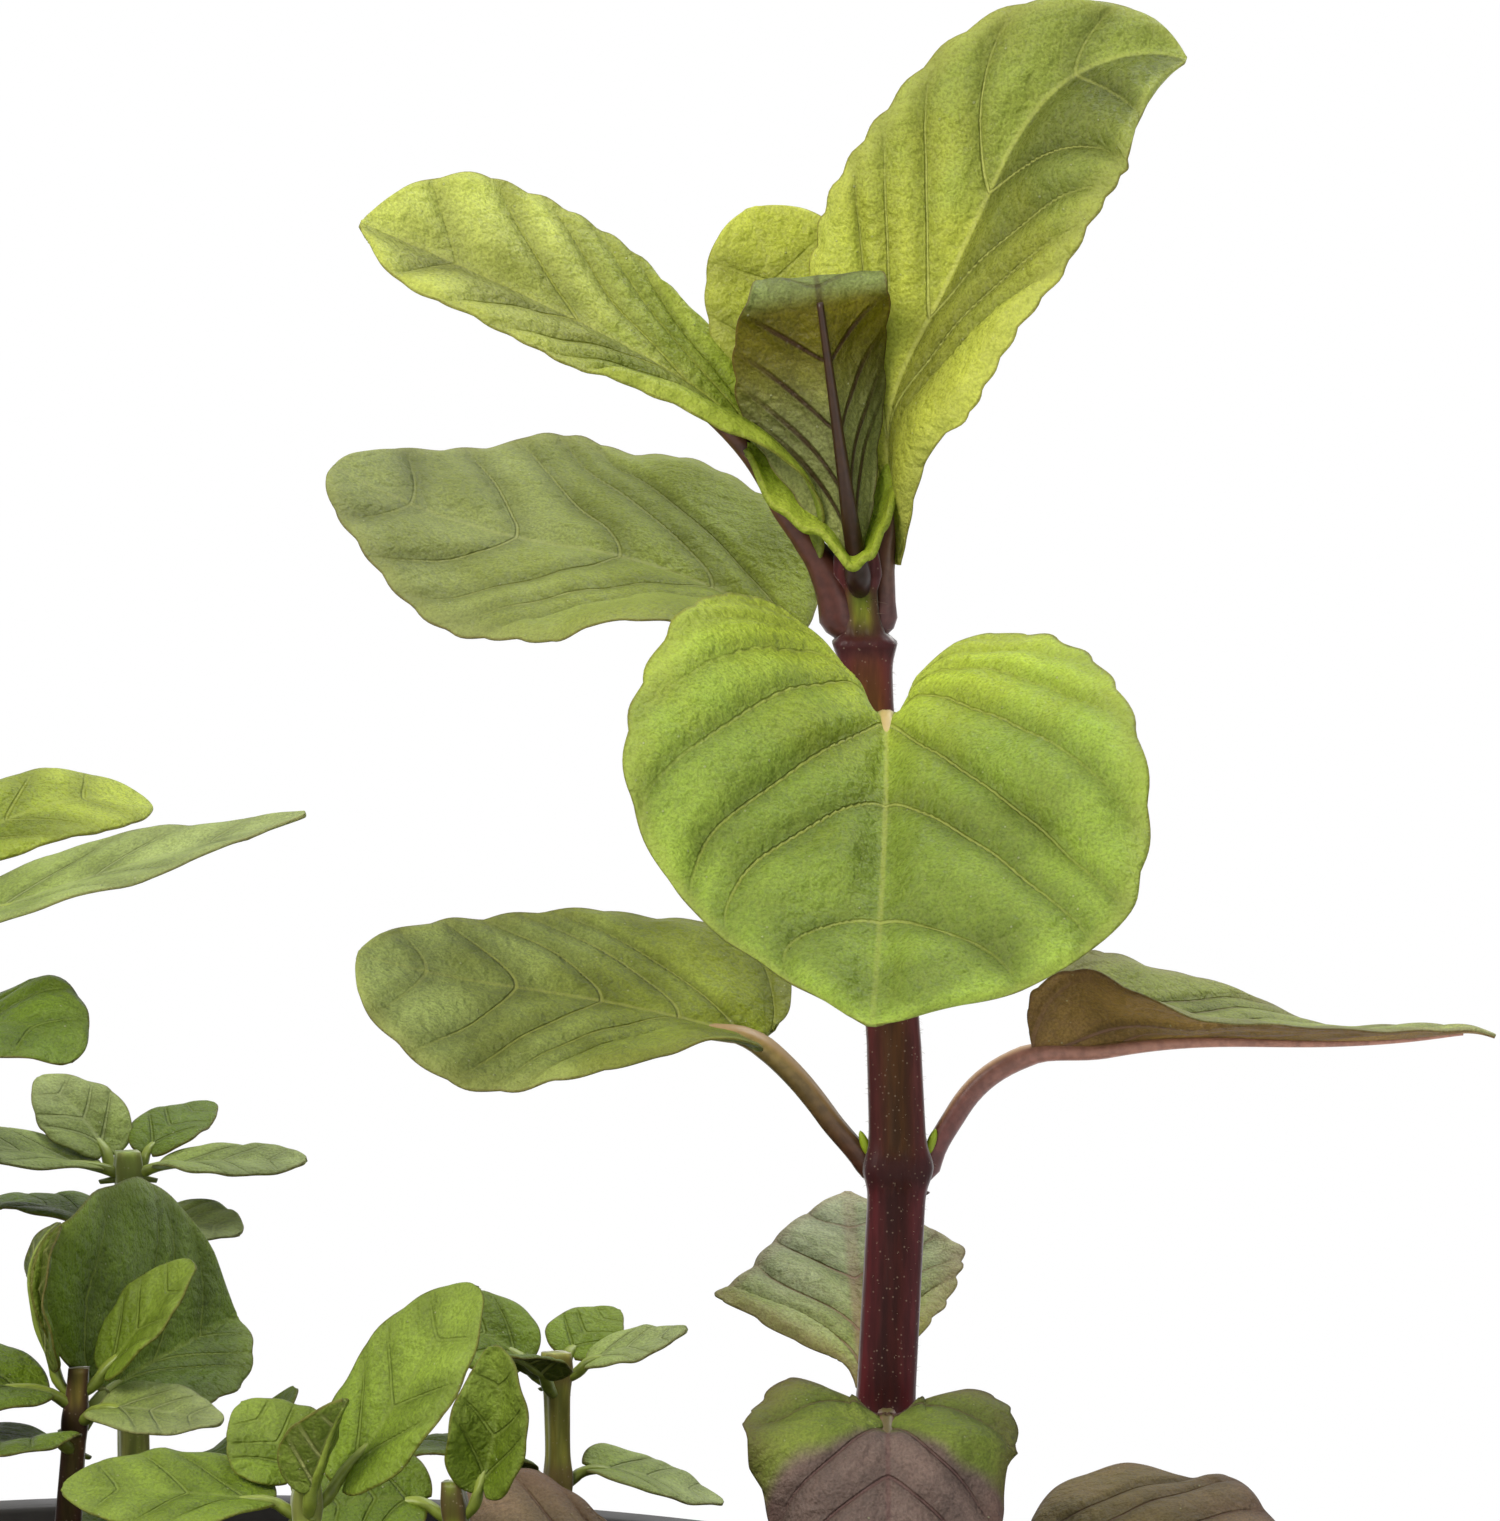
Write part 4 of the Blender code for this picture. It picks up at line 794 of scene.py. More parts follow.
def outline(leaf, turn):
    """How far along the leaf each half's margin is, as a share of its length, and each half's width.

    Length is (1 - cos turn) / 2, drawn back by the heart lobes, and width a sine that leans to one end. A
    leaf with a form of its own has a smooth curve through its margin's stations for each half.
    """
    form = FORMS.get(leaf.name)
    if form:
        left, right = (curve_through(stations, turn / math.pi) for stations in (form.left, form.right))
        return left[0] / leaf.length, right[0] / leaf.length, left[1], right[1]
    belly, lobe, tip, base = leaf.shape
    share = (1 - np.cos(turn)) / 2
    margin = share - lobe * np.sin(turn) * (1 - share) ** 4
    if leaf.stem != "main_stem":
        margin = margin - WINGED_STALK * leaf.petiole / leaf.length * (1 - share) ** 3

    def breadth(angle, fullness):
        share = (1 - np.cos(angle)) / 2
        narrowed = (1 - tip * share**3) * (1 - base * (1 - share) ** 3)
        return np.sin(angle) * (1 + fullness * np.cos(angle)) * narrowed

    stalk = leaf.stalk / 2 * (1 - share) + TIP_WIDTH / 2 * share
    halves = []
    for fullness in (belly + leaf.skew, belly - leaf.skew):
        widest = breadth(np.linspace(0, math.pi, 181), fullness).max()
        halves.append(leaf.width / 2 * breadth(turn, fullness) / widest + stalk)
    return margin, margin, *halves


# %% [markdown]
# ### Veins, quilting and scallops
#
# Side veins leave the midrib in pairs and arch towards the tip. A vein number that grows evenly along the
# midrib and is carried forward by a power of the distance from it gives all of them at once: a point lies on
# a vein where the number is whole. Dividing the distance to the nearest whole number by the number's own
# slope turns it into millimetres, so every vein has its real width. The tissue between two veins swells, and
# the veins and the midrib lie in grooves. The margin's scallops are the rounded arches of a sine without its
# sign, each leaning forward.

# %% Vein number, relief and scallops
# The relief is full size on a leaf of RELIEF_SIZE, and smaller on a smaller leaf. A groove has a depth and a
# width, a crumple a direction and a length, and a wave a height, a count and a shift between the two halves.
# The last whole number of a crumple, and the third of a wave, say which random start it has.
RELIEF_SIZE = 22
TOOTH_LENGTH = 2.7
TOOTH_DEPTH = 0.34
TOOTH_LEAN = 1.35
MIDRIB_CHANNEL = 0.8
VEIN_GROOVE = (0.1, 0.28)
RIB_GROOVE = (0.34, 0.55)
CRUMPLE_HEIGHT = 0.07
CRUMPLES = ((0.5, 5.0, 4), (2.0, 7.0, 5), (2.9, 10.0, 0))
WAVES = ((1.0, 1.6, 2, 0.3), (0.6, 3.3, 3, 0.2))
VEIN_NUMBER_POWER = 0.85
LOBE_VEINS = (0.15, 0.5)


def grid_slopes(points):
    """The steps of a grid of points or numbers along its rows and along its columns."""
    return np.gradient(points, axis=0), np.gradient(points, axis=1)


def grid_normals(points):
    """The unit normals of a grid, from the cross product of its steps."""
    normal = np.cross(*grid_slopes(points))
    return normal / np.maximum(np.linalg.norm(normal, axis=-1, keepdims=True), 1e-9)


def smooth_step(value, low, high):
    """0 below low, 1 above high, and a cubic with level ends between them."""
    share = np.clip((value - low) / (high - low), 0, 1)
    return share * share * (3 - 2 * share)


def full_wave(turns):
    """A sine that comes round once in a turn."""
    return np.sin(2 * math.pi * turns)


def vein_field(share, across, leaf, points):
    """The vein number grows with share (1 + a) - a, where a is arch across^bow. Also its spacing.

    Behind the base it grows slowly, and faster in a leaf with heart lobes, which have veins of their own.
    """
    forward = leaf.arch * across**leaf.bow
    start = share * (1 + forward) - forward
    slow = LOBE_VEINS[0] + LOBE_VEINS[1] * leaf.shape[1]
    number = leaf.veins * np.where(start > 0, np.abs(start) ** VEIN_NUMBER_POWER, slow * start) - 0.25
    down, aside = grid_slopes(points)
    first, second = grid_slopes(number)
    e, f, g = (down**2).sum(-1), (down * aside).sum(-1), (aside**2).sum(-1)
    steep = (g * first**2 - 2 * f * first * second + e * second**2) / np.maximum(e * g - f**2, 1e-9)
    return number, np.clip(1 / np.sqrt(np.maximum(steep, 1e-4)), 0.3, 9.0)


def folds_and_curls(leaf, side, reached):
    """Each point's fold and curl in degrees. They belong to its half and to how far along the leaf it is."""
    form = FORMS.get(leaf.name)
    if form:
        both = (form.fold, form.curl)
        return [np.where(side > 0, *(smooth_curve(stations, reached) for stations in pair)) for pair in both]
    pairs = [np.array(values)[:, None, None] for values in zip(leaf.left, leaf.right or leaf.left)]
    base_fold, tip_fold, base_curl, tip_curl = (np.where(side > 0, *pair) for pair in pairs)
    fold = tip_fold + (base_fold - tip_fold) * (1 - reached) ** 2
    return fold, base_curl + (tip_curl - base_curl) * reached


def blade_points(leaf, line, rows, columns, seed):
    """The blade's middle surface with its relief, the marks that its finish reads, and it all laid flat.

    x is how far a point is along the midrib and y how far from it. The halves then fold up and curl.
    """
    turn = np.linspace(0, math.pi, rows)[:, None]
    left_margin, right_margin, left, right = outline(leaf, turn)
    side = np.linspace(-1, 1, columns) + 0 * turn
    sign = np.sign(side)
    margin = np.where(side > 0, left_margin, right_margin)
    share = (1 - np.cos(turn)) / 2 + 0 * side
    across = np.abs(side)
    size = min(leaf.length, leaf.width) / RELIEF_SIZE

    start = np.random.default_rng(seed).uniform(0, 1, 6)
    teeth = max(4, round(leaf.length / TOOTH_LENGTH)) * share + np.where(side > 0, start[0], start[1])
    arch = np.sin(math.pi * (teeth % 1) ** TOOTH_LEAN)
    scallop = TOOTH_DEPTH * min(1, size) * (1 - arch) * np.sin(turn) ** 0.5
    half = np.where(side > 0, left, right) - scallop * across**6
    x = (share + (margin - share) * across) * leaf.length
    y = across * half

    bend = min(PETIOLE_BEND, leaf.petiole / 2)
    held = np.maximum(x, bend * smooth_step(y, 0.3, 2.5))
    place, ahead, aside, above = carried(line, held)
    fold, curl = folds_and_curls(leaf, side, np.clip(x / leaf.length, 0, 1))
    bent = np.radians(curl) * y / (leaf.width / 2)
    chord = y * np.sinc(bent / 2 / math.pi)
    lean = np.radians(fold) + bent / 2
    out = sign * chord * np.cos(lean)
    up = (np.hypot(chord, MIDRIB_CHANNEL) - MIDRIB_CHANNEL) * np.sin(lean)
    points = place + (x - held)[..., None] * ahead + out[..., None] * aside + up[..., None] * above

    normal = grid_normals(points)
    reach = 0.3 * share + 0.7 * x / leaf.length
    number, spacing = vein_field(reach, across, leaf, points)
    distance = np.abs((number + 0.5) % 1 - 0.5) * spacing
    open_field = smooth_step(y, 0.4, 2.5) * (1 - smooth_step(across, 0.86, 1.0)) * np.sin(turn) ** 0.6
    broad = np.clip(spacing / (4 * size), 0.3, 1.3)
    swell = leaf.quilt * size * broad * np.abs(np.sin(math.pi * number)) ** 0.8 * open_field
    groove = VEIN_GROOVE[0] * size * bell(distance, VEIN_GROOVE[1]) * open_field
    channel = RIB_GROOVE[0] * min(1, size) * bell(y, RIB_GROOVE[1]) * (1 - share)
    crumple = sum(
        full_wave((x * math.cos(angle) + sign * y * math.sin(angle)) / length + start[k])
        for angle, length, k in CRUMPLES
    )
    crumple = CRUMPLE_HEIGHT * size * crumple * smooth_step(y, 0.4, 3)
    wave = sum(high * full_wave(count * share + start[k] + shift * sign) for high, count, k, shift in WAVES)
    wave = leaf.wave * size * across**2 * wave * np.sin(turn)
    points = points + (swell - groove - channel + wave + crumple)[..., None] * normal
    marks = {"vein": number, "gap": spacing, "along": reach, "across": across, "edge": (1 - across) * half}
    return points, {**marks, "out": y, "side": side}, np.stack([x, sign * y], -1)


# %% Blade and rib as closed meshes
# The stalk's foot reaches into the stem, and the hugs are how far it bends towards the stem's middle. Its
# groove is a dent with a depth and a width.
UV_WIDTH = 100
BLADE_FINE = 0.3
STALK_FOOT = 2.2
STALK_HUG = 0.7
FOOT_HUG = 0.8
STALK_DENT = (0.35, 0.7)
RIB_SIDES = 12
RIB_TAPER = 0.76
RIB_TIP_MARK = 0.93
LEAST_RIB = 0.12


def shell_faces(rows, columns):
    """The quads of two grids, one facing up and one down, and of the strip round them."""
    grid = np.arange(rows * columns).reshape(rows, columns)
    top = np.stack([grid[:-1, :-1], grid[1:, :-1], grid[1:, 1:], grid[:-1, 1:]], -1).reshape(-1, 4)
    below = top[:, ::-1] + grid.size
    loop = np.concatenate([grid[0, :-1], grid[:-1, -1], grid[-1, :0:-1], grid[:0:-1, 0]])
    after = np.roll(loop, -1)
    strip = np.stack([loop, after, after + grid.size, loop + grid.size], -1)
    return np.vstack([top, below, strip]).tolist()


def rib_rings(leaf, stem, line, steps):
    """A tapering round section along the midrib: stalk first, then sinking under the blade.

    Its foot leans in to the stem's axis, most in a leaf with a long stalk.
    """
    x = np.linspace(-leaf.petiole - STALK_FOOT, leaf.rib_end * leaf.length, steps)
    inside = np.clip(x, -leaf.petiole, None)
    place, ahead, aside, above = carried(line, inside)
    rooted = ((inside - x) / STALK_FOOT) ** 2
    inward = (stem.axis(leaf.height) - line[1][0]) * [1, 1, 0]
    out = x + leaf.petiole
    hug = STALK_HUG * min(1, leaf.petiole / 3) * (1 - smooth_step(x, -0.4 * leaf.petiole, 7))
    hug += FOOT_HUG * np.clip(leaf.petiole / 4 - 1, 0, 1) * (1 - smooth_step(out, -1, 4))
    hug = hug / np.linalg.norm(inward)
    place = place + (x - inside)[:, None] * ahead + (0.8 * rooted + hug)[:, None] * inward
    share = np.clip(x / leaf.length, 0, 1)
    radius = leaf.stalk / 2 * (0.92 - RIB_TAPER * share**0.55) * leaf.rib + 0.1 * bell(out + 0.5, 1.2)
    radius = np.maximum(radius * (1 - 0.5 * rooted), LEAST_RIB)
    sunk = smooth_step(x, -0.2, min(5, 0.3 * leaf.length))
    place = place - ((RIB_GROOVE[0] * (1 - share) + 0.75 * radius) * sunk)[:, None] * above
    angle = around(RIB_SIDES)
    ring = radius[:, None] * (1 - STALK_DENT[0] * bell(angle - math.pi / 2, STALK_DENT[1]))
    sideways = (ring * np.cos(angle))[..., None] * aside[:, None, :]
    upwards = (ring * np.sin(angle))[..., None] * above[:, None, :]
    return place[:, None, :] + sideways + upwards, (x - x[0]) / (x[-1] - x[0])


def add_leaf(leaf, grid, seed, finishes):
    """One leaf: its blade's two sides and margin, and its stalk and rib, as one piece of two finishes."""
    stem = stems[leaf.stem]
    line = midrib(leaf, stem)
    rows, columns = grid
    points, values, flat = blade_points(leaf, line, rows, columns, seed)
    thin = (BLADE_FINE / 2 * (1 - 0.6 * values["across"] ** 8))[..., None] * grid_normals(points)
    blade = np.vstack([(points + thin).reshape(-1, 3), (points - thin).reshape(-1, 3)])
    blade_faces = shell_faces(rows, columns)
    rings, share = rib_rings(leaf, stem, line, max(24, rows // 2))
    rib = with_caps(rings)
    rib_faces = tube_faces(*rings.shape[:2], first=len(blade))
    none = np.zeros(len(rib))
    marks = {key: np.concatenate([np.tile(number.ravel(), 2), none]) for key, number in values.items()}
    marks["along"][len(blade) :] = [*np.repeat(share, RIB_SIDES), 0, RIB_TIP_MARK]
    facing = np.tile(np.sin(around(RIB_SIDES)), len(rings))
    marks["facing"] = np.concatenate([np.zeros(len(blade)), facing, [0, 0]])
    marks["upper"] = np.concatenate([np.repeat([1, 0], rows * columns), none])
    uv = np.vstack([np.tile(flat.reshape(-1, 2), (2, 1)), np.zeros((len(rib), 2))]) / UV_WIDTH + 0.5
    picks = [0] * len(blade_faces) + [1] * len(rib_faces)
    add_piece(
        leaf.name + "_fine", np.vstack([blade, rib]), blade_faces + rib_faces, finishes, [leaf.name],
        marks, picks, uv,
    )


# %% [markdown]
# ### Leaf tissue
#
# A mint blade is two layers of green cells under a thin wax skin. Young tissue is thin and yellow green and
# lets light through, older tissue is greyer and duller, and plants grown in strong light turn purple brown
# along their margins, ribs and undersides. The upper side shows pale veins and fine pale oil glands. So one
# recipe takes a handful of colours, and each leaf that looks different gets its own set.


# %% Leaf looks
@dataclass
class Look:
    """Colours and gloss of a few leaves: young and old are the upper side's colours at its base and its tip.

    under is the underside's colour, and under_foot and under_tip replace it at its two ends. vein and
    under_vein colour the veins of each side, and stalk goes from the stem to the rib's end. channel lies in
    the stalk's groove. margin is the colour of the blush and of a thin line along the margin.

    glow is the share of the light that passes through, and gloss the wax's roughness. mottle is how strong
    the blotches are. turns says where young turns to old, as two shares of the length. patchy is how uneven
    that is, and lobes how much later it comes at the margins. crease is a half, 1 for the left and -1 for the
    right one, and how light it is painted beside the midrib: painted shade where that half folds away from
    the light. rib_band widens the midrib's pale line, and edge_light lightens the blade towards its margins.
    """

    name: str
    slot: str
    young: str
    old: str
    under: str
    leaves: tuple
    vein: str = "c2c67c"
    under_vein: str = "a9ad6a"
    margin: str = "6b4a2c"
    stalk: tuple = ("5f6a26", "6c7a2c")
    channel: str = "7c8838"
    under_foot: str = ""
    under_tip: str = ""
    glow: float = 0.42
    gloss: float = 0.42
    mottle: float = 1.0
    blush: float = 0.0
    turns: tuple = (0.4, 1.4)
    crease_shade: tuple = (1, 1.0)
    lobes: float = 0.0
    patchy: float = 0.9
    rib_band: float = 1.0
    edge_light: float = 0.0


LOOKS = [
    Look("upper_right_tissue", "leaf_yellow_green", "c2c84e", "808c3c", "8c9630", ("upper_right_leaf",),
         vein="c8cc70", stalk=("4a2c2a", "8d7a40"), channel="7a5248", gloss=0.36, turns=(0.7, 1.3),
         crease_shade=(-1, 0.52)),
    Look("upper_left_tissue", "leaf_yellow_green", "8c9e2c", "aab058", "8a9a38", ("upper_left_leaf",),
         vein="b2b64c", stalk=("40201a", "563624"), channel="4c2a20", glow=0.5, gloss=0.38,
         turns=(0.6, 1.2), crease_shade=(1, 0.68), edge_light=0.2),
    Look("top_back_tissue", "leaf_yellow_green", "aab43c", "bcc24c", "98a43a", ("top_back_leaf",),
         vein="cdd070", glow=0.5, gloss=0.28),
    Look("top_front_tissue", "leaf_dark", "7a8a3a", "6f8a5a", "66600c", ("top_front_leaf",),
         under_vein="34180e", stalk=("26120c", "2c1a0c"), channel="2c1a0c", under_foot="80864c",
         under_tip="7a864a", glow=0.4, gloss=0.3, mottle=1.3),
    Look("heart_tissue", "leaf_green", "a4b43c", "788c34", "66723a", ("heart_leaf",), vein="b2b85c",
         stalk=("6a4a34", "8a8a4c"), channel="a58c5a", gloss=0.4, turns=(0.3, 0.95), edge_light=0.4),
    Look("back_left_tissue", "leaf_green", "8a9634", "7c844c", "707a40", ("back_left_leaf",), vein="a8ac68",
         gloss=0.45),
    Look("middle_left_tissue", "leaf_green", "7c8724", "828e50", "6c7a3a", ("middle_left_leaf",),
         vein="a8ac58", stalk=("3c2018", "7c6e3a"), channel="8c7048", mottle=1.4),
    Look("middle_right_tissue", "leaf_purple", "9ca650", "a2ae64", "8e7240", ("middle_right_leaf",),
         vein="b3a684", under_vein="8a6a58", margin="5a4030", stalk=("542c2a", "946a58"), channel="b89468",
         mottle=1.5, blush=0.4),
    Look("lower_back_tissue", "leaf_green", "8c9a3a", "bac098", "6a7038", ("lower_back_leaf",),
         vein="a8786a", margin="62452f", stalk=("8a5a4c", "8a6a58"), channel="a58c5a", gloss=0.5, blush=0.2,
         rib_band=2.6),
    Look("lower_front_tissue", "leaf_purple", "748434", "73625a", "5c4c3c", ("lower_front_leaf",),
         vein="6a4a48", under_vein="5a3a3c", margin="5f4434", stalk=("5a4430", "6a4a40"), channel="4c4a24",
         gloss=0.5, mottle=1.5, blush=0.4, turns=(0.1, 0.17), lobes=0.35, patchy=0.15),
    Look("bottom_tissue", "leaf_purple", "786c44", "7e6a54", "5c4a3a",
         ("bottom_right_leaf", "bottom_left_leaf"), vein="6a5048", under_vein="5a4038", margin="5a4030",
         stalk=("6a4838", "6a4a40"), channel="7c5c48", gloss=0.5, mottle=1.4, blush=0.5),
    Look("sunlit_tissue", "leaf_yellow_green", "8c9c2c", "a8b444", "7c8e2c",
         ("left_shoot_yellow_leaf", "left_shoot_upper_far_leaf", "left_shoot_top_leaf_1",
          "left_shoot_top_leaf_2"),
         vein="b4be58", glow=0.45, gloss=0.36),
    Look("bright_tissue", "leaf_green", "6c8222", "82963a", "728432",
         ("bright_tall_leaf", "bright_folded_leaf", "curled_leaf", "bright_left_leaf", "bright_round_leaf",
          "bright_low_leaf", "small_back_left_leaf", "small_back_centre_leaf", "left_shoot_far_leaf",
          "left_shoot_back_leaf", "young_small_right_leaf"),
         vein="889a44"),
    Look("round_tissue", "leaf_green", "687e26", "6b802e", "667c30", ("round_leaf",), vein="98a84c",
         gloss=0.36),
    Look("bloom_tissue", "leaf_grey_green", "86964a", "98a468", "82905a",
         ("left_shoot_long_leaf", "rosette_left_leaf", "rosette_right_leaf", "rosette_upper_left_leaf",
          "rosette_low_right_leaf", "small_back_right_leaf", "small_back_low_right_leaf",
          "young_low_right_leaf"),
         vein="a4ae74", gloss=0.5),
    Look("shaded_tissue", "leaf_dark", "566a18", "5a6e24", "505c22",
         ("left_shoot_dark_leaf", "rosette_upper_right_leaf", "rosette_low_left_leaf",
          "young_small_left_leaf", "young_left_leaf", "young_low_left_leaf", "young_bottom_leaf",
          "small_back_front_leaf", "small_back_low_left_leaf", "curled_left_leaf", "curled_low_right_leaf",
          "curled_low_left_leaf"),
         vein="6a7a30", glow=0.3),
]
print("leaf looks:", len(LOOKS), "for", sum(len(look.leaves) for look in LOOKS), "leaves")

# %% Leaf tissue
NET_CELL = 1.3
GLAND_SPACING = 0.8
BLOTCH = 6
PAPILLA = 0.2
CRINKLE = 0.8
MARGIN_LINE = 0.45
BLADE_MARKS = ("vein", "gap", "along", "across", "edge", "out", "side", "upper")


def vein_lines(nodes, marks, look):
    """The distance to the nearest side vein in millimetres, and lines on the side veins and the midrib."""
    beside = nodes.times(nodes.calculate("PINGPONG", marks["vein"], 0.5), marks["gap"])
    fading = nodes.times(
        nodes.ramp(marks["across"], 0.4, 1.0, 1.0, 0.1), nodes.ramp(marks["along"], 0.65, 0.95, 1.0, 0.2)
    )
    side_vein = nodes.times(nodes.ramp(beside, 0.05, 0.2, 1.0, 0.0), fading)
    band = nodes.ramp(marks["out"], 0.08 * look.rib_band, 0.3 * look.rib_band, 1.0, 0.0)
    return beside, side_vein, nodes.times(band, nodes.ramp(marks["along"], 0.3, 1.0, 1.0, 0.4))


def net_and_glands(nodes):
    """The distance to the fine net of veins, and dots for the oil glands, both on the blade laid flat."""
    flat = nodes.add("UVMap", uv_map="surface")
    waver = nodes.add("TexNoise", {"Vector": flat, "Scale": UV_WIDTH / 2.4, "Detail": 1.0}, 1)
    cells = {"Vector": nodes.blend(0.012, flat, waver, "ADD"), "Scale": UV_WIDTH / NET_CELL}
    net = nodes.add("TexVoronoi", cells, "Distance", feature="DISTANCE_TO_EDGE")
    gland = nodes.add("TexVoronoi", {"Vector": flat, "Scale": UV_WIDTH / GLAND_SPACING}).node.outputs
    chosen = nodes.ramp(nodes.add("SeparateXYZ", {0: gland["Color"]}), 0.5, 0.9)
    return net, nodes.times(nodes.ramp(gland["Distance"], 0.06, 0.13, 1.0, 0.0), chosen)


def lined(nodes, colour, line_colour, *lines):
    """A colour with lines of another one painted over it, each a mark and its strength."""
    return reduce(lambda skin, line: nodes.blend(nodes.times(*line), skin, line_colour), lines, colour)


def leaf_tissue(look):
    """Waxy skin: lines from the vein number, a net between them, glands, a margin line and a glow."""
    material, nodes = new_material(look.name)
    marks = {key: nodes.mark(key) for key in BLADE_MARKS}
    along, edge, upper = marks["along"], marks["edge"], marks["upper"]
    beside, side_vein, rib = vein_lines(nodes, marks, look)
    net, dots = net_and_glands(nodes)
    net_line = nodes.ramp(net, 0.0, 0.12, 1.0, 0.0)
    place = nodes.place()
    blotch = nodes.noise(place, BLOTCH, 4.0)
    fine = nodes.noise(place, PAPILLA, 3.0, Roughness=0.65)

    mottle = nodes.ramp(blotch, 0.3, 0.7, 1 - 0.2 * look.mottle, 1 + 0.18 * look.mottle)
    # swell darkens the tissue beside each side vein and lightens it between the veins: painted shade in the
    # vein grooves and painted light on the swellings.
    swell = nodes.ramp(beside, 0.1, 1.8, 0.88, 1.2)
    grain = nodes.ramp(fine, 0.3, 0.7, 0.76, 1.24)
    # Painted shade: one half of the blade is darkened beside the midrib, where it folds away from the light.
    half, tone = look.crease_shade
    beyond = nodes.times(marks["side"], half)
    crease_shadow = nodes.times(nodes.ramp(beyond, 0.0, 0.04), nodes.ramp(beyond, 0.3, 1.1, 1 - tone, 0.0))
    rim_light = nodes.ramp(edge, 0.0, 9.0, 1 + look.edge_light, 1 - look.edge_light / 4)
    # shade is the random tone of mottle and grain, times the painted shade of swell and of the crease and the
    # painted light of rim_light.
    shade = nodes.times(mottle, swell, grain, nodes.minus(1.0, crease_shadow), rim_light)

    ripe = nodes.plus(along, nodes.times(blotch, look.patchy))
    age = nodes.ramp(nodes.minus(ripe, nodes.times(marks["across"], look.lobes)), *look.turns)
    top = nodes.scaled(nodes.blend(age, look.young, look.old), shade)
    thin = (nodes.ramp(edge, 0.2, 2.5, 0.3, 0.0), upper)
    top = lined(nodes, top, look.vein, thin, (net_line, 0.07), (side_vein, 0.55), (rib, 0.5))
    under = nodes.blend(nodes.ramp(along, 0.35, 0.7), look.under_foot or look.under, look.under)
    under = nodes.blend(nodes.ramp(along, 0.76, 0.84), under, look.under_tip or look.under)
    below = nodes.scaled(under, shade)
    below = lined(nodes, below, look.under_vein, (net_line, 0.16), (side_vein, 0.85), (rib,))
    skin = nodes.blend(upper, below, top)
    patch = nodes.times(nodes.ramp(blotch, 0.42, 0.62), nodes.ramp(edge, 0.3, 4.0, 1.0, 0.35))
    skin = lined(nodes, skin, look.margin, (patch, look.blush))
    skin = lined(nodes, skin, "d8dcae", (dots, 0.4))
    rim = (nodes.ramp(edge, 0.04, 0.2, MARGIN_LINE, 0.0), nodes.ramp(blotch, 0.3, 0.6, 0.4))
    skin = lined(nodes, skin, look.margin, rim)

    relief = nodes.plus(nodes.times(fine, 0.35), nodes.times(nodes.noise(place, CRINKLE, 2.0), 0.9))
    pillow = nodes.ramp(net, 0.0, 0.4, 0.0, 0.35)
    relief = nodes.plus(relief, nodes.plus(pillow, nodes.times(dots, 0.3)))
    bump = nodes.bump(nodes.minus(relief, nodes.times(side_vein, 0.6)), 1.0, 0.26)
    rough = nodes.ramp(fine, 0.3, 0.7, look.gloss - 0.14, look.gloss + 0.12)
    rough = nodes.plus(rough, nodes.ramp(upper, 0, 1, 0.14, 0.0))
    wax = nodes.skin(skin, rough, Normal=bump, IOR=WAX_IOR, Specular_IOR_Level=0.26)
    light_through = nodes.blend(0.8, skin, "e6ec50", "MULTIPLY")
    glow = nodes.add("BsdfTranslucent", {"Color": light_through, "Normal": bump})
    nodes.finish(nodes.add("MixShader", {0: look.glow, 1: wax, 2: glow}))
    return material


def stalk_skin(name, foot, end, channel):
    """Stalk and rib: a waxy skin that goes from one colour at the stem to another at the tip."""
    material, nodes = new_material(name)
    along = nodes.mark("along")
    grain = nodes.noise(nodes.place(), 0.6, 3.0)
    shade = nodes.ramp(grain, 0.3, 0.7, 0.8, 1.22)
    skin = nodes.scaled(nodes.blend(nodes.ramp(along, 0.02, 0.5), foot, end), shade)
    lit = (nodes.ramp(nodes.mark("facing"), 0.4, 0.9, 0.0, 0.75), nodes.ramp(along, 0.05, 0.2))
    skin = lined(nodes, skin, channel, lit)
    bump = nodes.bump(grain, 0.5, 0.05)
    nodes.finish(nodes.skin(skin, 0.4, Normal=bump, IOR=WAX_IOR, Specular_IOR_Level=0.4))
    return material


print("net cells of", NET_CELL, "mm, oil glands every", GLAND_SPACING, "mm")

# %% [markdown]
# ## Grow the plant
#
# The stems come first, each with the colours of its own internodes. Then every leaf is made at its own
# fineness. The tall shoot's leaves are near the eye and get cells of about a third of a millimetre, and the
# others get about half as many rows.

# %% Grow the stems
STEM_COLOURS = {
    "main_stem": (
        ((88, "30120f"), (112, "280806"), (133, "2c0e0a"), (136, "341e08"), (152, "3e2408"), (165, "62401a"),
         (169, "4c281c"), (170.3, "4c201e"), (170.6, "545014"), (173, "566018"), (173.8, "3c1f18"),
         (176.6, "3c1f18")),
        "2a0f10", "45181c",
    ),
    "left_tall_stem": (((88, "4a3428"), (140, "5c4a30"), (163, "7a7c3c")), "40281c", "583428"),
    "back_rosette_stem": (((88, "5c5a30"), (120, "6d7a34"), (130, "7d8c40")), "57602a", "6a6a38"),
    "young_round_stem": (((88, "33241a"), (108, "36250f"), (121, "5a5020")), "2c1c14", "3c2018"),
    "bright_front_stem": (((88, "66683a"), (108, "7d8a40"), (119, "8a9a40")), "5a5c2c", "76803c"),
    "small_back_stem": (((88, "5c5a2c"), (108, "7d7c33"), (116, "8a8c3c")), "5c4c2c", "6c6430"),
    "curled_dark_stem": (((88, "3c3420"), (106, "55521f"), (114, "606a24")), "3c3018", "4c3420"),
}
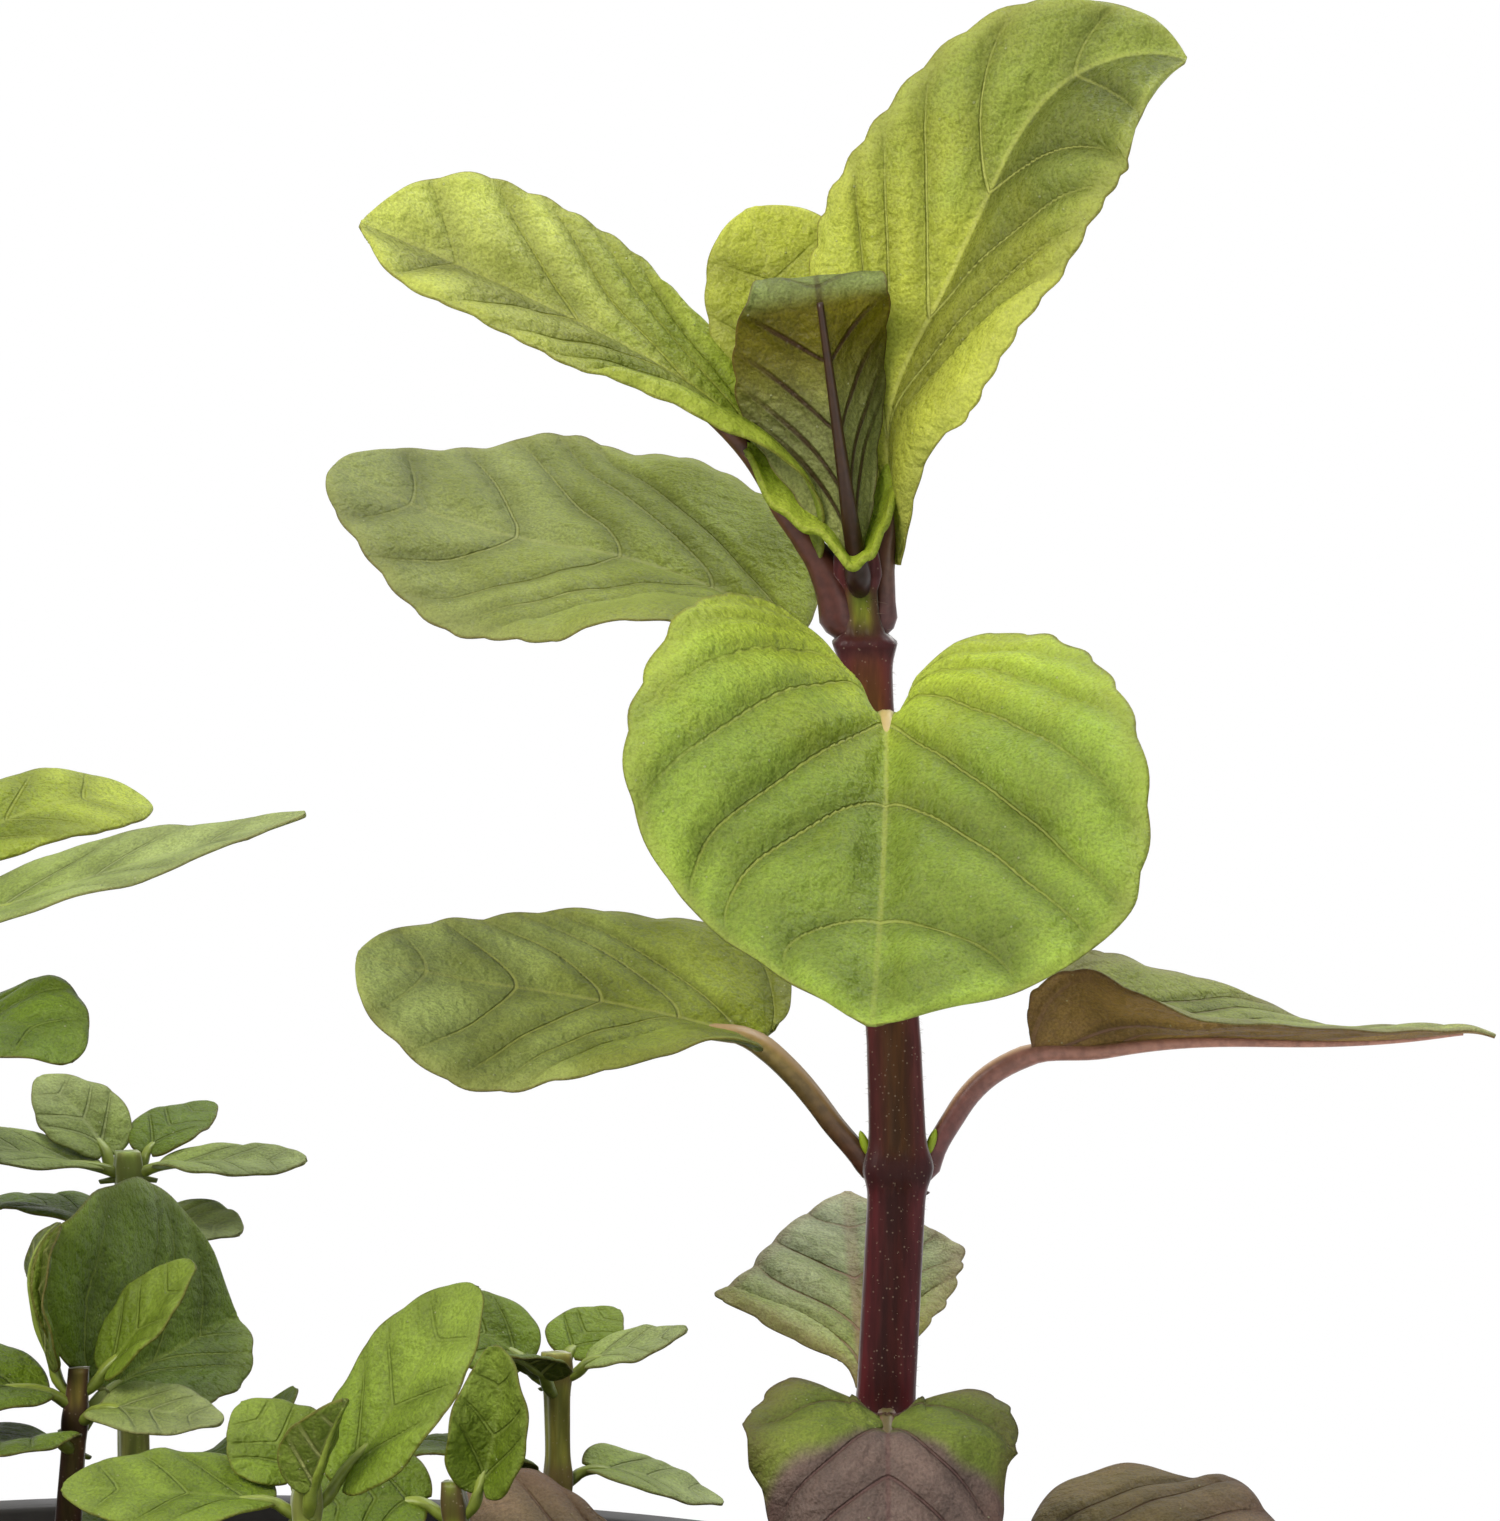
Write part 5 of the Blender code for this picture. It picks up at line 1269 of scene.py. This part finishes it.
for name, stem in stems.items():
    rings, marks = stem_rings(stem)
    marks = {key: [*mark.ravel(), 0, 0] for key, mark in marks.items()}
    skin = stem_skin(name + "_skin", *STEM_COLOURS[name])
    faces = tube_faces(*rings.shape[:2])
    add_piece(name + "_fine", with_caps(rings), faces, [skin], [name], marks)
    print(name, len(faces), "faces")

# %% Grow the leaves
TALL_SHOOT_GRID = (132, 73)
SIDE_SHOOT_GRID = (60, 37)
seeded = {leaf.name: (seed, leaf) for seed, leaf in enumerate(LEAVES)}
for look in LOOKS:
    finishes = [leaf_tissue(look), stalk_skin(look.name + "_stalk", *look.stalk, look.channel)]
    for name in look.leaves:
        seed, leaf = seeded[name]
        grid = TALL_SHOOT_GRID if leaf.stem == "main_stem" else SIDE_SHOOT_GRID
        add_leaf(leaf, grid, seed, finishes)
    print(look.name, len(look.leaves))

# %% [markdown]
# ## Where the stem branches
#
# The two highest leaves are joined at their bases, so they hold the youngest pair in a small green cup. Its
# surface is a loft between two curves, one behind the young leaf and one in front, and its free margin turns
# outwards. In the angle of each petiole of the middle pair sits a green bud, and fine hairs stand on the
# stem.

# %% Leaf cup
CUP_FRONT = (
    (38.4, -0.6, 183.2), (40.2, -2.4, 179.6), (42.2, -3.4, 178.2), (43.9, -4.1, 177.4), (45.2, -4.8, 175.7),
    (46.4, -4.7, 176.2), (47.3, -3.6, 177.6), (48.0, -2.0, 179.2), (48.6, -0.8, 181.0),
)
CUP_BACK = (
    (38.5, -0.5, 183.3), (41.2, 0.2, 182.8), (43.0, 0.2, 181.2), (44.2, 0.0, 179.4), (45.2, -0.4, 177.6),
    (46.2, -0.4, 177.6), (46.9, 0.0, 179.2), (47.4, 0.3, 180.8), (47.9, 0.5, 182.4),
)
CUP_GRID = (72, 26)
CUP_HALF_THICKNESS = 0.22
CUP_SAG = 0.7
CUP_LIP = (0, -0.35, -0.35)
CUP_RIPPLES = 7
CUP_RIPPLE = 0.16


def lofted(front, back, rows, columns):
    """Points across from one curve to another, which sag a little and turn over at the first one's end."""
    t = np.linspace(0, 1, rows)
    near, far = (np.stack(curve_through(curve, t), -1)[:, None] for curve in (front, back))
    s = np.linspace(0, 1, columns)[None, :, None]
    lip = np.clip(1 - s / 0.22, 0, 1) ** 2
    ripple = CUP_RIPPLE * full_wave(CUP_RIPPLES * t)[:, None, None] * np.clip(1 - s / 0.5, 0, 1)
    sag = CUP_SAG * np.sin(math.pi * s) - ripple
    return near * (1 - s) + far * s + sag * [0, 0, -1] + lip * CUP_LIP


cup = lofted(CUP_FRONT, CUP_BACK, *CUP_GRID)
up = grid_normals(cup)
up *= CUP_HALF_THICKNESS * np.sign(up[..., 2].mean())
cup_points = np.vstack([(cup + up).reshape(-1, 3), (cup - up).reshape(-1, 3)])
span = np.tile(np.linspace(0, 1, CUP_GRID[1]), 2 * CUP_GRID[0])
marks = {"across": 1 - span, "edge": 4 * span + 0.12, "upper": np.repeat([1, 0], len(span) // 2)}
for key, number in {"vein": 0.5, "gap": 6, "along": 0.15, "out": 3}.items():
    marks[key] = number + 0 * span
cup_skin = bpy.data.materials["upper_left_tissue"]
cup_flat = cup_points[:, [0, 2]] / UV_WIDTH
cup_faces = shell_faces(*CUP_GRID)
add_piece("leaf_cup", cup_points, cup_faces, [cup_skin], values=marks, uv=cup_flat)
print("cup of", len(cup_points), "points")

# %% Axillary buds
BUD_LENGTH = 1.7
BUD_RADIUS = 0.3
BUD_GRID = (13, 10)
# Each bud's foot, and how far it leans sideways for each millimetre of height.
BUDS = (((46.6, -0.8, 135.6), -0.36), ((50.6, -0.8, 135.7), 0.3))


def bud_rings(foot, lean):
    """A spindle that leans sideways: its radius is that of a sine, fuller towards the tip."""
    t = np.linspace(0, 1, BUD_GRID[0])[:, None]
    angle = around(BUD_GRID[1])[None, :]
    ahead = np.array([lean, 0, 1]) / math.hypot(lean, 1)
    aside = np.cross(ahead, [0, 1, 0])
    reach = BUD_RADIUS * (np.sin(math.pi * (0.08 + 0.92 * t) ** 0.9) ** 0.6 + 0.05)
    ring = (reach * np.cos(angle))[..., None] * aside + (reach * np.sin(angle))[..., None] * [0, -1, 0]
    return foot + (BUD_LENGTH * t)[..., None] * ahead + ring


bud_skin, nodes = new_material("bud_skin")
nodes.finish(nodes.skin("7a8c1c", 0.45, IOR=WAX_IOR, Specular_IOR_Level=0.3))
points, faces = [], []
for foot, lean in BUDS:
    rings = bud_rings(foot, lean)
    faces += tube_faces(*rings.shape[:2], first=len(points))
    points += with_caps(rings).tolist()
add_piece("axillary_buds", points, faces, [bud_skin])
print("buds:", len(BUDS))

# %% Stem hairs
HAIR_RADIUS = 0.018
HAIR_FOOT = 0.96
HAIR_LENGTHS = (0.5, 1.2)
HAIR_SLOPES = (-0.7, 0.4)
# From which height to which, how many hairs, and how long.
HAIRS = ((170.6, 173.2, 26, 0.8), (119, 170, 420, 0.3), (133.6, 135.6, 24, 0.4))


def hair_points(stem, low, high, count, length, rng):
    """Three-sided spikes, each from the stem's surface outwards and a little down."""
    points = []
    for height, bearing in zip(rng.uniform(low, high, count), rng.uniform(0, 360, count)):
        angle = math.radians(bearing)
        out = np.array([math.cos(angle), math.sin(angle), 0])
        foot = stem.axis(height) + HAIR_FOOT * stem.reach(height, bearing) * out
        tip = foot + length * rng.uniform(*HAIR_LENGTHS) * (out + [0, 0, rng.uniform(*HAIR_SLOPES)])
        turns = rng.uniform(0, 6) + np.array([0, 2.1, 4.2])
        side = np.stack([-np.sin(turns) * out[1], np.sin(turns) * out[0], np.cos(turns)], -1)
        points += [*(foot + HAIR_RADIUS * side), tip]
    return points


rng = np.random.default_rng(5)
points = [point for row in HAIRS for point in hair_points(stems["main_stem"], *row, rng)]
spike = np.array([(1, 0, 3), (2, 1, 3), (0, 2, 3), (0, 1, 2)])
faces = [face for k in range(0, len(points), 4) for face in (spike + k).tolist()]
hair_skin, nodes = new_material("leaf_hair")
nodes.finish(nodes.skin("94846c", 0.5, IOR=1.5))
add_piece("stem_hairs", points, faces, [hair_skin])
print("hairs:", len(points) // 4)

# %% [markdown]
# ## Soil and pot
#
# Potting soil is peat with bark. Its top is a low crown roughened by three sizes of waves, and strewn with
# crumbs that are small uneven polyhedra. The pot is thin moulded plastic, turned from one profile, with its
# rim band and its drain holes where the CAD model has them.

# %% Soil
POT_HEIGHT = 100.0
POT_RIM_RADIUS = 65.0
POT_SHOULDER_RADIUS = 60.5
POT_SHOULDER_HEIGHT = 86.0
POT_FOOT_RADIUS = 46.0
POT_WALL = 2.2
SOIL_EDGE = POT_RIM_RADIUS - POT_WALL - CLEARANCE
SOIL_EDGE_HEIGHT = 91.0
SOIL_CROWN = 11.0
SOIL_FLOOR = 3
SOIL_GAP = 0.4
SOIL_SIDES = 200
SOIL_STEP = 0.9
# The height and the length of each size of the soil's waves.
SOIL_LUMPS = ((0.6, 5.0), (0.45, 2.1), (0.3, 0.9))
CRUMBS = 620
CRUMB_LEAST = 0.35
CRUMB_SPREAD = 1.5


def revolved(profile, sides):
    """A closed surface of revolution, from the middle of its top out, down and back to the middle below."""
    radius, height = np.array(profile).T[:, :, None]
    angle = around(sides)[None, :]
    return np.stack([radius * np.cos(angle), radius * np.sin(angle), height + 0 * angle], -1)


def pot_inner_radius(height):
    """The pot's inner wall, straight from its floor to the shoulder."""
    slope = (POT_SHOULDER_RADIUS - POT_FOOT_RADIUS) / POT_SHOULDER_HEIGHT
    return POT_FOOT_RADIUS + slope * height - POT_WALL


def soil_height(radius):
    """The soil's top: a crown that falls off as a parabola to its edge."""
    return SOIL_EDGE_HEIGHT + SOIL_CROWN * (1 - (radius / SOIL_EDGE) ** 2)


radii = np.arange(SOIL_EDGE, 0.5, -SOIL_STEP)[::-1]
profile = [(r, soil_height(r)) for r in radii] + [(SOIL_EDGE, POT_SHOULDER_HEIGHT + 3)]
profile += [(pot_inner_radius(height) - SOIL_GAP, height) for height in (POT_SHOULDER_HEIGHT, SOIL_FLOOR)]
rings = revolved(profile, SOIL_SIDES)
x, y = rings[..., 0], rings[..., 1]
rough = sum(
    size * np.sin(x / reach + 1.7 * np.sin(y / reach + k)) * np.cos(y / reach - 1.3 * np.sin(x / reach - k))
    for k, (size, reach) in enumerate(SOIL_LUMPS)
)
top = np.arange(len(rings)) < len(radii)
rings[..., 2] += rough * top[:, None] * np.clip((SOIL_EDGE - np.hypot(x, y)) / 4, 0, 1)
soil_points = with_caps(rings[::-1])
soil_faces = tube_faces(*rings.shape[:2])

rng = np.random.default_rng(11)
crumb = bmesh.new()
bmesh.ops.create_icosphere(crumb, subdivisions=1, radius=1.0)
crumb_points = np.array([v.co for v in crumb.verts])
crumb_faces = np.array([[v.index for v in face.verts] for face in crumb.faces])
crumb.free()
points, faces = [soil_points], [*soil_faces]
for k in range(CRUMBS):
    radius, angle = (SOIL_EDGE - 2) * math.sqrt(rng.uniform(0, 1)), rng.uniform(0, 2 * math.pi)
    size = CRUMB_LEAST + CRUMB_SPREAD * rng.uniform(0, 1) ** 3
    jitter = 1 + 0.25 * rng.normal(size=(len(crumb_points), 1)).clip(-1.5, 1.5)
    lump = crumb_points * jitter * size * rng.uniform(0.5, 1.3, 3)
    place = [radius * math.cos(angle), radius * math.sin(angle), soil_height(radius) + 0.2 * size]
    faces += (crumb_faces + len(soil_points) + k * len(crumb_points)).tolist()
    points.append(lump + place)

peat, nodes = new_material("peat_and_bark")
place = nodes.place()
grit = nodes.noise(place, 1.2, 5.0)
tone = nodes.ramp(nodes.noise(place, 7, 3.0), 0.3, 0.7, 0.7, 1.25)
soil_colour = nodes.scaled(nodes.blend(nodes.ramp(grit, 0.4, 0.7), "1c1409", "4a3822"), tone)
nodes.finish(nodes.skin(soil_colour, 0.85, Normal=nodes.bump(grit, 0.9, 0.4), Specular_IOR_Level=0.25))
add_piece("soil_fine", np.vstack(points), faces, [peat], ["soil"])
print("soil of", len(soil_faces), "faces and", CRUMBS, "crumbs")

# %% Pot
POT_SIDES = 192
POT_EDGE = 1.0
POT_RIM_DROP = 3.0
POT_AXIS_GAP = 0.4
DRAIN_HOLES = 6
DRAIN_HOLE_RADIUS = 4.0
DRAIN_CIRCLE_RADIUS = 35.0


def rounded(corners, radius=0.5, points=4):
    """A profile whose corners are cut back by up to a radius and joined by a short parabola."""
    profile = [corners[0]]
    for before, corner, after in zip(corners, corners[1:], corners[2:]):
        before, corner, after = map(np.array, (before, corner, after))
        first, second = before - corner, after - corner
        first = corner + first * min(0.45, radius / np.linalg.norm(first))
        second = corner + second * min(0.45, radius / np.linalg.norm(second))
        for t in np.linspace(0, 1, points):
            profile.append((1 - t) ** 2 * first + 2 * t * (1 - t) * corner + t**2 * second)
    return profile + [corners[-1]]


def pot_plastic():
    """Black moulded plastic with long dull scuffs and a fine grain."""
    material, nodes = new_material("moulded_polypropylene")
    place = nodes.place()
    scuff = nodes.noise(nodes.stretched(place, 0.15), 4, 4.0)
    bump = nodes.bump(nodes.noise(place, 0.35, 2.0), 0.35, 0.05)
    colour = nodes.blend(nodes.ramp(scuff, 0.35, 0.75), "1e1c1a", "2c2a27")
    roughness = nodes.ramp(scuff, 0.3, 0.7, 0.45, 0.6)
    nodes.finish(nodes.skin(colour, roughness, Normal=bump, Specular_IOR_Level=0.35))
    return material


def drain_drill():
    """A ring of upright cylinders where the drain holes are."""
    drill = bmesh.new()
    for k in range(DRAIN_HOLES):
        turn = 2 * math.pi * (k + 0.5) / DRAIN_HOLES
        place = (DRAIN_CIRCLE_RADIUS * math.cos(turn), DRAIN_CIRCLE_RADIUS * math.sin(turn), POT_WALL / 2)
        radius = DRAIN_HOLE_RADIUS * MM
        bmesh.ops.create_cone(
            drill, cap_ends=True, segments=24, radius1=radius, radius2=radius, depth=4 * POT_WALL * MM,
            matrix=Matrix.Translation(Vector(place) * MM),
        )
    mesh = bpy.data.meshes.new("drill")
    drill.to_mesh(mesh)
    drill.free()
    return link("drill", mesh)


corners = [
    (POT_AXIS_GAP, 0), (POT_FOOT_RADIUS - 2, 0), (POT_FOOT_RADIUS, 1.2),
    (POT_SHOULDER_RADIUS, POT_SHOULDER_HEIGHT - POT_EDGE),
    (POT_RIM_RADIUS - POT_EDGE, POT_SHOULDER_HEIGHT), (POT_RIM_RADIUS, POT_HEIGHT - POT_RIM_DROP),
    (POT_RIM_RADIUS + POT_EDGE, POT_HEIGHT - 2 * POT_EDGE), (POT_RIM_RADIUS + POT_EDGE, POT_HEIGHT),
    (POT_RIM_RADIUS - POT_WALL, POT_HEIGHT), (POT_RIM_RADIUS - POT_WALL, POT_SHOULDER_HEIGHT + POT_WALL),
    (pot_inner_radius(POT_SHOULDER_HEIGHT), POT_SHOULDER_HEIGHT), (pot_inner_radius(POT_WALL), POT_WALL),
    (POT_AXIS_GAP, POT_WALL),
]
rings = revolved(rounded(corners), POT_SIDES)
faces = tube_faces(*rings.shape[:2])
pot = add_piece("pot_fine", with_caps(rings), faces, [pot_plastic()], ["nursery_pot"])
cutter = drain_drill()
holes = pot.modifiers.new("drain_holes", "BOOLEAN")
holes.object, holes.operation, holes.solver = cutter, "DIFFERENCE", "EXACT"
solid = pot.data
pot.data = bpy.data.meshes.new_from_object(pot.evaluated_get(bpy.context.evaluated_depsgraph_get()))
pot.modifiers.clear()
bpy.data.meshes.remove(solid)
bpy.data.meshes.remove(cutter.data)
print("pot of", len(pot.data.polygons), "faces")
